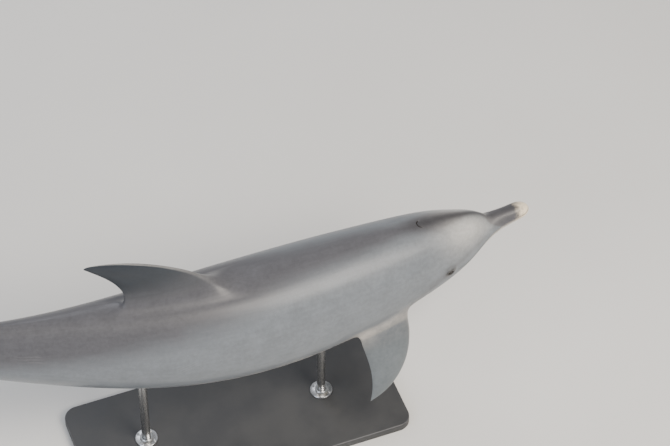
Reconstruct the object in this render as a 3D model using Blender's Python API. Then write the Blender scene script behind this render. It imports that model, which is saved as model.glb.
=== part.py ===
"""Life-size display model of an Indo-Pacific bottlenose dolphin on a plain stand.

Metres, +Z up.  The animal heads along +X, its left side faces +Y, and the
origin is the centre of the stand's underside.

The animal is laid out straight first, in body space: metres back from the
beak tip, metres to its left and metres up from its axis.  The spine then
carries that straight shape into the swimming pose.
"""
import math

import bmesh
import bpy
import numpy as np

LENGTH = 2.40            # beak tip to fluke notch
GAP = 0.0004             # between parts that meet
AXIS_HEIGHT = 0.52       # body axis above the floor, over the stand
AXIS_STATION = 0.42      # share of LENGTH that stands over the origin
COLUMNS = 32             # corners round one cross-section

# Body outline, as (share of LENGTH back from the beak tip, share of LENGTH).
BACK_KNOTS = [(0, .0098), (.02, .0118), (.045, .0145), (.056, .0174), (.064, .0256),
              (.076, .0366), (.092, .0450), (.115, .0535), (.15, .0622), (.20, .0712),
              (.28, .0808), (.36, .0848), (.44, .0843), (.52, .0795), (.60, .0710),
              (.70, .0570), (.80, .0425), (.87, .0310), (.92, .0175), (.95, .0100),
              (.975, .0062), (1.0, .0045)]
BELLY_KNOTS = [(0, .0090), (.02, .0112), (.045, .0135), (.07, .0172), (.10, .0245),
               (.13, .0342), (.17, .0455), (.22, .0563), (.29, .0670), (.37, .0730),
               (.44, .0730), (.52, .0685), (.60, .0590), (.68, .0475), (.76, .0385),
               (.84, .0290), (.89, .0205), (.93, .0120), (.96, .0070), (1.0, .0045)]
SIDE_KNOTS = [(0, .0100), (.015, .0118), (.035, .0125), (.05, .0145), (.065, .0190),
              (.08, .0255), (.10, .0350), (.125, .0440), (.16, .0520), (.20, .0585),
              (.27, .0665), (.35, .0710), (.43, .0700), (.51, .0630), (.60, .0500),
              (.70, .0345), (.80, .0225), (.88, .0160), (.94, .0135), (1.0, .0100)]
# Height of the widest line, which is also the line of the mouth.
WAIST_KNOTS = [(0, 0), (.04, .0004), (.07, -.0012), (.10, -.0026), (.125, -.0010),
               (.17, .0005), (.25, 0), (.40, -.0015), (.60, 0), (.80, .0015), (1.0, .001)]
# How far the section is pinched towards a ridge above and below.
RIDGE_KNOTS = [(0, -.10), (.05, -.08), (.10, -.03), (.20, 0), (.50, .02), (.62, .12),
               (.74, .26), (.86, .34), (.93, .15), (1.0, 0)]
NOSE_ROUND = 0.014       # share of LENGTH over which the beak tip rounds off
TAIL_END = 0.978         # where the tail stock has sunk into the flukes
TAIL_ROUND = 0.016       # share of LENGTH over which it rounds off there
CREASE_LAG = 0.022       # how far the melon's crease falls back down the sides
UNDERBITE = 0.003        # the lower jaw's lead over the upper
BITE_STEP = 0.007        # half the height over which that lead comes in

# Heading of the spine in degrees: to the left, and upwards.
YAW_KNOTS = [(-.05, 7.0), (.20, 4.4), (.42, -1.5), (.60, -7.0), (.80, -13.0), (1.10, -17.0)]
PITCH_KNOTS = [(-.05, 6.4), (.20, 4.2), (.42, -1.0), (.60, -7.0), (.80, -13.0), (1.10, -18.0)]

BEAK_END = 0.060
HEAD_END = 0.165
NECK_END = 0.195
TRUNK_FRONT_END = 0.345
TRUNK_MIDDLE_END = 0.500
TRUNK_REAR_END = 0.660
STOCK_FRONT_END = 0.800

EYE_STATION = 0.138      # eye centre, share of LENGTH
EYE_HEIGHT = 0.0050
EYE_RADIUS = 0.0155
EYE_BULGE = 0.0045       # how far the ball stands out of the head

# Fin planforms: leading and trailing edge, each from root to tip, as shares
# of LENGTH.  Dorsal fin: (station, height).
DORSAL_LEAD = [(.418, .058), (.458, .128), (.560, .171), (.6210, .1585)]
DORSAL_TRAIL = [(.5740, .050), (.5560, .108), (.5830, .140), (.6210, .1585)]
DORSAL_THICK = 0.0125
# Flukes: (station, distance out from the middle).
FLUKE_LEAD = [(.893, .000), (.922, .050), (.952, .110), (1.014, .1300)]
FLUKE_TRAIL = [(.996, .000), (1.026, .030), (.998, .082), (1.014, .1300)]
FLUKE_THICK = 0.0130
# Flippers: (distance back, distance out along the fin) from the front root.
FLIPPER_LEAD = [(.000, -.020), (-.014, .042), (.006, .106), (.052, .1250)]
FLIPPER_TRAIL = [(.064, -.020), (.070, .024), (.040, .062), (.052, .1250)]
FLIPPER_THICK = 0.0125
FLIPPER_ROOT = (.207, .0500, -.0365)
FLIPPER_OUT = (.10, .36, -.93)

BASE_SIZE = (1.04, 0.44, 0.030)
BASE_CORNER = 0.045
BASE_EDGE = 0.004
ROD_STATIONS = {"front": .300, "rear": .545}
ROD_RADIUS = 0.014
COLLAR_RADIUS = 0.036
COLLAR_HEIGHT = 0.014


def spline(knots):
    """Natural cubic spline through the knots, as a function of station."""
    x, y = np.array(knots, float).T
    count, step = len(x), np.diff(x)
    matrix, right = np.zeros((count, count)), np.zeros(count)
    matrix[0, 0] = matrix[-1, -1] = 1
    for i in range(1, count - 1):
        matrix[i, i - 1:i + 2] = step[i - 1], 2 * (step[i - 1] + step[i]), step[i]
        right[i] = 6 * ((y[i + 1] - y[i]) / step[i] - (y[i] - y[i - 1]) / step[i - 1])
    bend = np.linalg.solve(matrix, right)

    def value(at):
        at = np.clip(np.asarray(at, float), x[0], x[-1])
        i = np.clip(np.searchsorted(x, at) - 1, 0, count - 2)
        before, after, width = at - x[i], x[i + 1] - at, step[i]
        return ((bend[i] * after ** 3 + bend[i + 1] * before ** 3) / (6 * width)
                + (y[i] / width - bend[i] * width / 6) * after
                + (y[i + 1] / width - bend[i + 1] * width / 6) * before)
    return value


back, belly, side = spline(BACK_KNOTS), spline(BELLY_KNOTS), spline(SIDE_KNOTS)
waist, ridge = spline(WAIST_KNOTS), spline(RIDGE_KNOTS)


def smooth(value, low, high):
    """0 below low, 1 above high, with level ends."""
    share = np.clip((value - low) / (high - low), 0, 1)
    return share * share * (3 - 2 * share)


def rounding(station):
    """Share of the full section left where the two ends round off."""
    nose = 1 - np.clip(station / NOSE_ROUND, 0, 1)
    tail = 1 - np.clip((TAIL_END - station) / TAIL_ROUND, 0, 1)
    return np.sqrt(np.clip(1 - nose ** 2, 0, 1) * np.clip(1 - tail ** 2, 0, 1))


def body_point(station, turn):
    """Skin point in body space; turn is 0 at the back, 90 at its left side."""
    station, turn = np.broadcast_arrays(np.asarray(station, float), np.asarray(turn, float))
    up, out = np.cos(turn), np.sin(turn)
    lag = CREASE_LAG * out ** 2 * (1 - smooth(station, .09, .17))
    size, middle = rounding(station), waist(station)
    crown = back(np.clip(station - lag, 0, 1)) - middle
    keel = belly(station) + middle
    depth = np.where(up >= 0, crown, keel) * size
    width = side(station) * size * (1 - ridge(station) * up ** 2)
    rise = depth * up
    ahead = UNDERBITE * (1 - smooth(station, 0, BEAK_END)) * smooth(-rise, -BITE_STEP, BITE_STEP)
    return np.stack([station - ahead, width * out, middle + rise], -1) * LENGTH


class Spine:
    """Carries body space into the pose along a gently bent axis."""

    def __init__(self):
        self.station = np.linspace(-.05, 1.12, 600)
        yaw = np.radians(spline(YAW_KNOTS)(self.station))
        pitch = np.radians(spline(PITCH_KNOTS)(self.station))
        ahead = np.stack([np.cos(pitch) * np.cos(yaw), np.cos(pitch) * np.sin(yaw),
                          np.sin(pitch)], -1)
        self.left = np.stack([-np.sin(yaw), np.cos(yaw), 0 * yaw], -1)
        self.up = np.cross(ahead, self.left)
        step = (self.station[1] - self.station[0]) * LENGTH
        walk = np.cumsum((ahead[1:] + ahead[:-1]) / 2 * -step, axis=0)
        self.axis = np.vstack([np.zeros(3), walk])
        self.axis += np.array([0, 0, AXIS_HEIGHT]) - self.at(self.axis, AXIS_STATION)

    def at(self, track, station):
        return np.stack([np.interp(station, self.station, track[:, k]) for k in range(3)], -1)

    def place(self, points):
        points = np.asarray(points, float)
        station = points[..., 0] / LENGTH
        return (self.at(self.axis, station) + self.at(self.left, station) * points[..., 1:2]
                + self.at(self.up, station) * points[..., 2:3])


SPINE = Spine()


def clear_scene():
    for item in list(bpy.data.objects):
        bpy.data.objects.remove(item, do_unlink=True)


def material(name, colour, roughness, metallic=0.0):
    made = bpy.data.materials.get(name) or bpy.data.materials.new(name)
    made.use_nodes = True
    shader = made.node_tree.nodes["Principled BSDF"]
    shader.inputs["Base Color"].default_value = (*colour, 1)
    shader.inputs["Roughness"].default_value = roughness
    shader.inputs["Metallic"].default_value = metallic
    return made


def add_object(name, points, faces, finish=None):
    """One named object from points and faces, with outward normals."""
    mesh = bpy.data.meshes.new(name)
    mesh.from_pydata([tuple(map(float, p)) for p in points], [], faces)
    work = bmesh.new()
    work.from_mesh(mesh)
    bmesh.ops.triangulate(work, faces=[f for f in work.faces if len(f.verts) > 3])
    bmesh.ops.recalc_face_normals(work, faces=work.faces)
    work.to_mesh(mesh)
    work.free()
    mesh.shade_smooth()
    item = bpy.data.objects.new(name, mesh)
    bpy.context.scene.collection.objects.link(item)
    if finish:
        mesh.materials.append(finish)
    return item


def loft(name, rings, finish=None, first=None, last=None):
    """Closed solid over rings of equal count; first and last close to a point."""
    count = len(rings[0])
    points = [p for ring in rings for p in ring]
    faces = []
    for r in range(len(rings) - 1):
        for c in range(count):
            a, b = r * count + c, r * count + (c + 1) % count
            faces.append((a, b, b + count, a + count))
    for start, tip in ((0, first), ((len(rings) - 1) * count, last)):
        if tip is None:
            faces.append(tuple(range(start, start + count)))
            continue
        points.append(tip)
        faces += [(start + c, start + (c + 1) % count, len(points) - 1)
                  for c in range(count)]
    return add_object(name, points, faces, finish)


def cut(item, cutter):
    """Take the cutter's volume out of the item and drop the cutter."""
    step = item.modifiers.new("Cut", "BOOLEAN")
    step.operation, step.solver, step.object = "DIFFERENCE", "EXACT", cutter
    bpy.context.view_layer.update()
    graph = bpy.context.evaluated_depsgraph_get()
    result = bpy.data.meshes.new_from_object(item.evaluated_get(graph))
    item.modifiers.clear()
    item.data = result
    item.data.shade_smooth()
    bpy.data.objects.remove(cutter, do_unlink=True)


def stations(start, end):
    """Cross-section stations between two shares of LENGTH, denser at the head."""
    spread = np.concatenate([
        NOSE_ROUND * (1 - np.cos(np.radians([24, 46, 68, 90]))),
        [.026, .040, .052, .0565, .0600, .0640, .0690, .0750, .0830, .0930, .1050, .1190],
        [.1340, .1490], np.arange(.165, .930, .0315), [.940, .956, .966, .9725, .9765]])
    inside = [s for s in spread if start + .0025 < s < end - .0025]
    half = GAP / 2 / LENGTH
    return np.array(([start + half] if start else []) + inside + ([end - half] if end < 1 else []))


def turns(count):
    return np.arange(count) * 2 * math.pi / count


def body_segment(name, start, end, finish):
    rings = SPINE.place(body_point(stations(start, end)[:, None], turns(COLUMNS)[None]))
    tail = SPINE.place(np.array([TAIL_END, 0, waist(1.0)]) * LENGTH) if end >= 1 else None
    return loft(name, list(rings), finish, last=tail)


def beak_half(name, finish, upper):
    """The beak above or below the line of the mouth."""
    half = COLUMNS // 2
    turn = (np.arange(half + 1) - half / 2) * 2 * math.pi / COLUMNS + (0 if upper else math.pi)
    station = stations(0, BEAK_END)
    points = body_point(station[:, None], turn[None])
    lip = waist(station)[:, None] * LENGTH + (GAP / 2 if upper else -GAP / 2)
    points[..., 2] = np.maximum(points[..., 2], lip) if upper else np.minimum(points[..., 2], lip)
    tip = [-UNDERBITE / 2 * LENGTH, 0, GAP / 2 if upper else -GAP / 2]
    return loft(name, list(SPINE.place(points)), finish, first=SPINE.place(tip))


def grown_body(start, end, margin=0.0003):
    """The body between two stations, a little larger, for clearing parts off it."""
    rows = np.array([start] + [s for s in stations(0, 1) if start < s < end]
                    + ([end] if end < 1 else []))
    points = body_point(rows[:, None], turns(COLUMNS)[None])
    along = np.gradient(points, axis=0)
    around = np.roll(points, -1, 1) - np.roll(points, 1, 1)
    out = np.cross(around, along)
    out /= np.linalg.norm(out, axis=-1, keepdims=True)
    out *= np.sign((out * (points - points.mean(1, keepdims=True))).sum(-1, keepdims=True))
    last = SPINE.place([TAIL_END * LENGTH + margin, 0, waist(1.0) * LENGTH]) if end >= 1 else None
    return loft("cutter", list(SPINE.place(points + out * margin)), last=last)


def bezier(corners, share):
    share = np.asarray(share, float)[..., None]
    a, b, c, d = np.array(corners, float)
    rest = 1 - share
    return a * rest ** 3 + 3 * b * rest ** 2 * share + 3 * c * rest * share ** 2 + d * share ** 3


def foil(lead, trail, thick, share, count):
    """Section across a fin as (station, span, thickness), lead to trail and back."""
    lead_at, trail_at = bezier(lead, share), bezier(trail, share)
    chord = np.linalg.norm(trail_at - lead_at)
    root = np.linalg.norm(np.subtract(trail[0], lead[0]))
    round_turn = turns(count)
    across = (1 - np.cos(round_turn)) / 2
    half = (.30 * np.sqrt(across) * (1 - across) + .10 * np.sqrt(across * (1 - across)))
    half *= thick * (.35 + .65 * (chord / root)) * min(1, 3.2 * chord / root) * 3.6
    rows = lead_at + (trail_at - lead_at) * across[:, None]
    return np.column_stack([rows, half * np.sign(np.sin(round_turn) + 1e-12)])


def fin_rings(lead, trail, thick, rows, count=24, last=.985):
    share = np.sin(np.linspace(0, 1, rows) * math.pi / 2) * last
    return [foil(lead, trail, thick, s, count) for s in share]


def dorsal_fin(finish):
    rings = [r[:, [0, 2, 1]] * LENGTH for r in fin_rings(DORSAL_LEAD, DORSAL_TRAIL,
                                                        DORSAL_THICK, 13)]
    tip = np.array([DORSAL_LEAD[3][0], 0, DORSAL_LEAD[3][1]]) * LENGTH
    fin = loft("dorsal_fin", [SPINE.place(r) for r in rings], finish, last=SPINE.place(tip))
    cut(fin, grown_body(.36, .66))


def fluke(name, hand, finish):
    rings = []
    for ring in fin_rings(FLUKE_LEAD, FLUKE_TRAIL, FLUKE_THICK, 13):
        ring = ring * LENGTH
        ring[:, 1] = np.maximum(ring[:, 1], GAP / 2) * hand
        ring[:, 2] += waist(1.0) * LENGTH
        rings.append(SPINE.place(ring))
    tip = np.array([FLUKE_LEAD[3][0], FLUKE_LEAD[3][1] * hand, waist(1.0)]) * LENGTH
    cut(loft(name, rings, finish, last=SPINE.place(tip)), grown_body(.80, 1))


def flipper_point(rows, hand):
    """From the flipper's own plane (back, out, thickness) to body space."""
    out = np.array(FLIPPER_OUT) / np.linalg.norm(FLIPPER_OUT)
    along = np.array([1.0, 0, 0]) - out * out[0]
    along /= np.linalg.norm(along)
    normal = np.cross(along, out)
    span = rows[:, 1:2]
    curl = -0.9 * np.clip(span, 0, 1) ** 2
    at = (np.array(FLIPPER_ROOT) + along * rows[:, :1] + out * span
          + normal * (rows[:, 2:3] + curl))
    return at * np.array([1, hand, 1]) * LENGTH


def flipper(name, hand, finish):
    rings = fin_rings(FLIPPER_LEAD, FLIPPER_TRAIL, FLIPPER_THICK, 13)
    tip = np.array([[*FLIPPER_LEAD[3], 0.0]])
    placed = [SPINE.place(flipper_point(r, hand)) for r in rings]
    fin = loft(name, placed, finish, last=SPINE.place(flipper_point(tip, hand))[0])
    cut(fin, grown_body(.15, .36))


def eye_centre(hand):
    """Ball centre in body space, set in so that it stands out by EYE_BULGE."""
    turn = np.linspace(0.3, 2.2, 400)
    points = body_point(EYE_STATION, turn)
    k = int(np.abs(points[:, 2] - EYE_HEIGHT * LENGTH).argmin())
    skin = points[k] * np.array([1, hand, 1])
    inward = np.array([0.12, -hand * 0.98, -0.10])
    inward /= np.linalg.norm(inward)
    return skin + inward * (EYE_RADIUS - EYE_BULGE)


def sphere(name, centre, radius, finish=None):
    rows, count = 10, 18
    polar = np.arange(1, rows) * math.pi / rows
    turn = turns(count)
    rings = [centre + radius * np.column_stack([np.sin(p) * np.cos(turn),
                                                np.sin(p) * np.sin(turn),
                                                np.full(count, np.cos(p))]) for p in polar]
    pole = np.array([0, 0, radius])
    return loft(name, rings, finish, first=centre + pole, last=centre - pole)


def cylinder(name, x, y, bottom, top, radius, finish=None, count=24):
    turn = turns(count)
    rings = [np.column_stack([x + radius * np.cos(turn), y + radius * np.sin(turn),
                              np.full(count, z)]) for z in (bottom, top)]
    return loft(name, rings, finish)


def stand(steel, paint):
    long, wide, high = BASE_SIZE
    outline = []
    for k in range(4):
        middle = (np.array([1, 1, -1, -1])[k] * (long / 2 - BASE_CORNER),
                  np.array([1, -1, -1, 1])[k] * (wide / 2 - BASE_CORNER))
        for step in range(7):
            angle = math.pi / 2 - k * math.pi / 2 - step * math.pi / 12
            outline.append((*middle, math.cos(angle), math.sin(angle)))
    outline = np.array(outline)
    rings = []
    for z, inset in ((0, BASE_EDGE), (BASE_EDGE, 0), (high - BASE_EDGE, 0), (high, BASE_EDGE)):
        rim = outline[:, :2] + outline[:, 2:] * (BASE_CORNER - inset)
        rings.append(np.column_stack([rim, np.full(len(rim), z)]))
    loft("stand_base", rings, paint)
    for place, station in ROD_STATIONS.items():
        x, y, z = SPINE.place([station * LENGTH, 0, 0])
        rod = cylinder(f"stand_rod_{place}", x, y, high + GAP, z, ROD_RADIUS, steel)
        cut(rod, grown_body(station - .06, station + .06))
        collar = cylinder(f"stand_collar_{place}", x, y, high + GAP, high + COLLAR_HEIGHT,
                          COLLAR_RADIUS, steel, 32)
        cut(collar, cylinder("cutter", x, y, 0, 1, ROD_RADIUS + GAP))


def main():
    clear_scene()
    grey = material("Grey flesh", (.16, .18, .20), .4)
    pale = material("Pale flesh", (.52, .50, .46), .4)
    dark = material("Dark fins", (.07, .085, .10), .4)
    steel = material("Brushed steel", (.55, .56, .57), .3, 1)
    paint = material("Dark matte paint", (.03, .032, .035), .6)
    wet = material("Dark eye", (.02, .012, .01), .1)
    beak_half("beak_upper", grey, True)
    beak_half("beak_lower", pale, False)
    head = body_segment("head", BEAK_END, HEAD_END, grey)
    body_segment("neck", HEAD_END, NECK_END, grey)
    body_segment("trunk_front", NECK_END, TRUNK_FRONT_END, grey)
    body_segment("trunk_middle", TRUNK_FRONT_END, TRUNK_MIDDLE_END, grey)
    body_segment("trunk_rear", TRUNK_MIDDLE_END, TRUNK_REAR_END, grey)
    body_segment("tail_stock_front", TRUNK_REAR_END, STOCK_FRONT_END, grey)
    body_segment("tail_stock_rear", STOCK_FRONT_END, 1, grey)
    dorsal_fin(dark)
    for word, hand in (("left", 1), ("right", -1)):
        flipper(f"flipper_{word}", hand, dark)
        fluke(f"fluke_{word}", hand, dark)
        centre = SPINE.place(eye_centre(hand))
        sphere(f"eye_{word}", centre, EYE_RADIUS, wet)
        cut(head, sphere("cutter", centre, EYE_RADIUS + GAP))
    stand(steel, paint)


main()
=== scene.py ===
"""Dress the life-size bottlenose dolphin model: skin, eyes, stand, stage."""

import math

import bmesh
import bpy
import numpy as np
from bpy.props import FloatProperty, FloatVectorProperty, IntProperty, PointerProperty
from bpy.types import Operator, Panel, PropertyGroup
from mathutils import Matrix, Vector


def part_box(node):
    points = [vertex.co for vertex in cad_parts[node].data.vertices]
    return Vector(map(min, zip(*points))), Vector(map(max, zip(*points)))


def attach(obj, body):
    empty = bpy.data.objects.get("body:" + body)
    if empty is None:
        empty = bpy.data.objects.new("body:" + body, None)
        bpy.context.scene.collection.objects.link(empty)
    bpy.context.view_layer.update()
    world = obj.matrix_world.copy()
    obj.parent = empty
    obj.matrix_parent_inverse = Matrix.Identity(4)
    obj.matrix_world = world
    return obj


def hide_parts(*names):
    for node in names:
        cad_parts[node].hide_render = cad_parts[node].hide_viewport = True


bl_info = {
    "name": "Dolphin Display Model",
    "version": (1, 0, 0),
    "blender": (4, 5, 0),
    "location": "View3D > Sidebar > Dolphin",
    "description": "Skin, eyes, stand and stage of a life-size bottlenose dolphin model",
    "category": "Object",
}

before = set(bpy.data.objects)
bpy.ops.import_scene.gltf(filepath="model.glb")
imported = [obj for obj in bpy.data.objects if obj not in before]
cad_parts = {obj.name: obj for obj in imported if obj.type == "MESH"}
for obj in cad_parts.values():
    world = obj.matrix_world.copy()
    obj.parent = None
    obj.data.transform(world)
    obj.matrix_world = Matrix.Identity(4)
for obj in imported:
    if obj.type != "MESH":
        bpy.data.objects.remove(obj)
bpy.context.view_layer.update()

# ---------------------------------------------------------------------------
# The body's form: the same named sizes that shape the solids. Only the fin
# differs: its tip is round and reaches a little further back.
# ---------------------------------------------------------------------------

# Stations are shares of LENGTH, back from the beak's tip. Body space runs back, left and up
# along the animal; SPINE bends it into the pose.
LENGTH = 2.40            # beak tip to fluke notch
AXIS_HEIGHT = 0.52       # of the body's axis over the floor, at AXIS_STATION
AXIS_STATION = 0.42

# Half-heights over and under the axis, half-width, and rise of the widest line.
BACK_KNOTS = [(0, .0098), (.02, .0118), (.045, .0145), (.056, .0174), (.064, .0256),
              (.076, .0366), (.092, .0450), (.115, .0535), (.15, .0622), (.20, .0712),
              (.28, .0808), (.36, .0848), (.44, .0843), (.52, .0795), (.60, .0710),
              (.70, .0570), (.80, .0425), (.87, .0310), (.92, .0175), (.95, .0100),
              (.975, .0062), (1.0, .0045)]
BELLY_KNOTS = [(0, .0090), (.02, .0112), (.045, .0135), (.07, .0172), (.10, .0245),
               (.13, .0342), (.17, .0455), (.22, .0563), (.29, .0670), (.37, .0730),
               (.44, .0730), (.52, .0685), (.60, .0590), (.68, .0475), (.76, .0385),
               (.84, .0290), (.89, .0205), (.93, .0120), (.96, .0070), (1.0, .0045)]
SIDE_KNOTS = [(0, .0100), (.015, .0118), (.035, .0125), (.05, .0145), (.065, .0190),
              (.08, .0255), (.10, .0350), (.125, .0440), (.16, .0520), (.20, .0585),
              (.27, .0665), (.35, .0710), (.43, .0700), (.51, .0630), (.60, .0500),
              (.70, .0345), (.80, .0225), (.88, .0160), (.94, .0135), (1.0, .0100)]
WAIST_KNOTS = [(0, 0), (.04, .0004), (.07, -.0012), (.10, -.0026), (.125, -.0010),
               (.17, .0005), (.25, 0), (.40, -.0015), (.60, 0), (.80, .0015), (1.0, .001)]
RIDGE_KNOTS = [(0, -.10), (.05, -.08), (.10, -.03), (.20, 0), (.50, .02), (.62, .12),
               (.74, .26), (.86, .34), (.93, .15), (1.0, 0)]
NOSE_ROUND = 0.014       # stretch over which the beak's tip rounds off
TAIL_END = 0.978
TAIL_ROUND = 0.016
CREASE_LAG = 0.022       # how far the forehead's foot runs back on the sides
UNDERBITE = 0.003        # how far the lower jaw leads the upper
BITE_STEP = 0.007        # half the height over which that lead comes in
# Headings of the axis, in degrees.
YAW_KNOTS = [(-.05, 7.0), (.20, 4.4), (.42, -1.5), (.60, -7.0), (.80, -13.0), (1.10, -17.0)]
PITCH_KNOTS = [(-.05, 6.4), (.20, 4.2), (.42, -1.0), (.60, -7.0), (.80, -13.0), (1.10, -18.0)]
BEAK_END = 0.060

EYE_STATION = 0.138
EYE_HEIGHT = 0.0050      # over the axis
EYE_RADIUS = 0.0155
EYE_BULGE = 0.0045       # how far the ball stands out of the head
EYE_LONG = 0.0122        # half-length of the opening between the lids
EYE_TALL = 0.0074        # and its half-height
EYE_OUT = (-.12, .98, .10)
EYE_PATCH = 0.0125       # half of the grid's opening for the eye, as a station
LID_THICK = 0.0012
LID_REACH = 0.0125       # how far the lids' rings reach from the opening
LID_RINGS = (.0111, .0099, .0091, .0085, .0079, .0073, .0067, .0061, .0056, .0051, .0046, .0040,
             .0033, .0025, .0017, .0010, .0005, .0001)
MOUND = (.0046, .0260, .0160)        # swelling round the eye: height, spread back, spread up
# Folds of the upper lid, of the lower lid, and the lids' rim: height, place, width.
UPPER_FOLDS = ((-.0009, .0053, .0013), (-.0003, .0086, .0012))
LOWER_FOLDS = ((-.0005, .0060, .0013), (-.0002, .0094, .0012))
LID_RIM = (.0003, .0016, .0012)

# Fins: curves of the leading and trailing edge, greatest thickness.
DORSAL_LEAD = [(.418, .058), (.458, .128), (.560, .171), (.6320, .1570)]
DORSAL_TRAIL = [(.5740, .050), (.5440, .110), (.6070, .1400), (.6320, .1570)]
DORSAL_THICK = 0.0125
DORSAL_STRAIGHT = 0.94   # share of its span past which the fin's tip is round
FLUKE_LEAD = [(.893, .000), (.922, .050), (.952, .110), (1.014, .1300)]
FLUKE_TRAIL = [(.996, .000), (1.026, .030), (.998, .082), (1.014, .1300)]
FLUKE_THICK = 0.0130
FLIPPER_LEAD = [(.000, -.020), (-.014, .042), (.006, .106), (.052, .1250)]
FLIPPER_TRAIL = [(.064, -.020), (.070, .024), (.040, .062), (.052, .1250)]
FLIPPER_THICK = 0.0125
FLIPPER_ROOT = (.207, .0500, -.0365)
FLIPPER_OUT = (.10, .36, -.93)

# Fineness of the skin.
COLUMNS = 176            # corners round the body
JOIN_STATION = 0.872     # where the tail stock turns into the flukes
FLUKE_ROWS_IN = 18       # fluke rows inside that join, each side
FLUKE_STEPS_IN = COLUMNS // 4 - FLUKE_ROWS_IN
FLUKE_STEPS = 88
LAST_RING = 0.992        # share of a fin's span at its last ring
JOIN_RINGS = 17          # between the tail stock and the flukes
RELAX_ROUNDS = 60
SPACING_KNOTS = [(.014, .0018), (.05, .0024), (.12, .0030), (.16, .0034), (.20, .0070),
                 (.25, .0078), (.40, .0088), (.44, .0080), (.58, .0080), (.65, .0098),
                 (.80, .0098), (.872, .0070)]

BLOWHOLE_STATION = 0.152
BLOWHOLE_RADIUS = 0.0150
BLOWHOLE_RINGS = (1.55, 1.40, 1.29, 1.20, 1.14, 1.09, 1.05, 1.02, 1.0, .98, .95, .91, .86, .79,
                  .68, .54, .38, .18)
GAPE_STATION = 0.1245    # the corner of the mouth
# How far the line of the mouth dips below the widest line, in metres.
SMILE_KNOTS = [(0, 0), (.055, 0), (.075, .0016), (.098, .0062), (.112, .0066), (.1245, .0022)]


def spline(knots):
    """Natural cubic spline through the knots, as a function of station."""
    x, y = np.array(knots, float).T
    count, step = len(x), np.diff(x)
    matrix, right = np.zeros((count, count)), np.zeros(count)
    matrix[0, 0] = matrix[-1, -1] = 1
    for i in range(1, count - 1):
        matrix[i, i - 1:i + 2] = step[i - 1], 2 * (step[i - 1] + step[i]), step[i]
        right[i] = 6 * ((y[i + 1] - y[i]) / step[i] - (y[i] - y[i - 1]) / step[i - 1])
    bend = np.linalg.solve(matrix, right)

    def value(at):
        at = np.clip(np.asarray(at, float), x[0], x[-1])
        i = np.clip(np.searchsorted(x, at) - 1, 0, count - 2)
        before, after, width = at - x[i], x[i + 1] - at, step[i]
        return ((bend[i] * after ** 3 + bend[i + 1] * before ** 3) / (6 * width)
                + (y[i] / width - bend[i] * width / 6) * after
                + (y[i + 1] / width - bend[i + 1] * width / 6) * before)
    return value


back, belly, side = spline(BACK_KNOTS), spline(BELLY_KNOTS), spline(SIDE_KNOTS)
waist, ridge = spline(WAIST_KNOTS), spline(RIDGE_KNOTS)


def smooth(value, low, high):
    """0 below low, 1 above high, with level ends."""
    share = np.clip((value - low) / (high - low), 0, 1)
    return share * share * (3 - 2 * share)


def bell(value, middle, width):
    """1 at the middle, falling away on both sides."""
    return np.exp(-((value - middle) / width) ** 2)


def unit(vectors):
    """The vectors at length 1."""
    return vectors / np.maximum(np.linalg.norm(vectors, axis=-1, keepdims=True), 1e-12)


def rounding(station):
    """Share of the full section left where the two ends round off."""
    nose = 1 - np.clip(station / NOSE_ROUND, 0, 1)
    tail = 1 - np.clip((TAIL_END - station) / TAIL_ROUND, 0, 1)
    return np.sqrt(np.clip(1 - nose ** 2, 0, 1) * np.clip(1 - tail ** 2, 0, 1))


def section(station, turn):
    """Half-heights, half-width and middle of the section, as shares of LENGTH."""
    up, out = np.cos(turn), np.sin(turn)
    lag = CREASE_LAG * out ** 2 * (1 - smooth(station, .09, .17))
    size, middle = rounding(station), waist(station)
    crown = back(np.clip(station - lag, 0, 1)) - middle
    keel = belly(station) + middle
    depth = np.where(up >= 0, crown, keel) * size
    width = side(station) * size * (1 - ridge(station) * up ** 2)
    return depth, width, middle


def body_point(station, turn):
    """Skin point in body space; turn is 0 at the back, 90 at its left side."""
    station, turn = np.broadcast_arrays(np.asarray(station, float), np.asarray(turn, float))
    depth, width, middle = section(station, turn)
    rise = depth * np.cos(turn)
    ahead = UNDERBITE * (1 - smooth(station, 0, BEAK_END)) * smooth(-rise, -BITE_STEP, BITE_STEP)
    return np.stack([station - ahead, width * np.sin(turn), middle + rise], -1) * LENGTH


def body_turn(points):
    """(station, turn, level) of points near the trunk; level is 1 on the skin."""
    station = points[..., 0] / LENGTH
    across, upward = points[..., 1] / LENGTH, points[..., 2] / LENGTH - waist(station)
    turn = np.arctan2(across, upward)
    for _ in range(14):
        depth, width, _ = section(station, turn)
        turn = np.arctan2(across / width, upward / depth)
    depth, width, _ = section(station, turn)
    return station, turn, np.hypot(across / width, upward / depth)


class Spine:
    """Carries body space into the pose along a gently bent axis."""

    def __init__(self):
        self.station = np.linspace(-.05, 1.12, 600)
        yaw = np.radians(spline(YAW_KNOTS)(self.station))
        pitch = np.radians(spline(PITCH_KNOTS)(self.station))
        ahead = np.stack([np.cos(pitch) * np.cos(yaw), np.cos(pitch) * np.sin(yaw),
                          np.sin(pitch)], -1)
        self.left = np.stack([-np.sin(yaw), np.cos(yaw), 0 * yaw], -1)
        self.up = np.cross(ahead, self.left)
        step = (self.station[1] - self.station[0]) * LENGTH
        walk = np.cumsum((ahead[1:] + ahead[:-1]) / 2 * -step, axis=0)
        self.axis = np.vstack([np.zeros(3), walk])
        self.axis += np.array([0, 0, AXIS_HEIGHT]) - self.at(self.axis, AXIS_STATION)

    def at(self, track, station):
        """A track's value at the stations."""
        return np.stack([np.interp(station, self.station, track[:, k]) for k in range(3)], -1)

    def place(self, points):
        """Body space to the place in the pose."""
        points = np.asarray(points, float)
        station = points[..., 0] / LENGTH
        return (self.at(self.axis, station) + self.at(self.left, station) * points[..., 1:2]
                + self.at(self.up, station) * points[..., 2:3])


SPINE = Spine()


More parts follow.
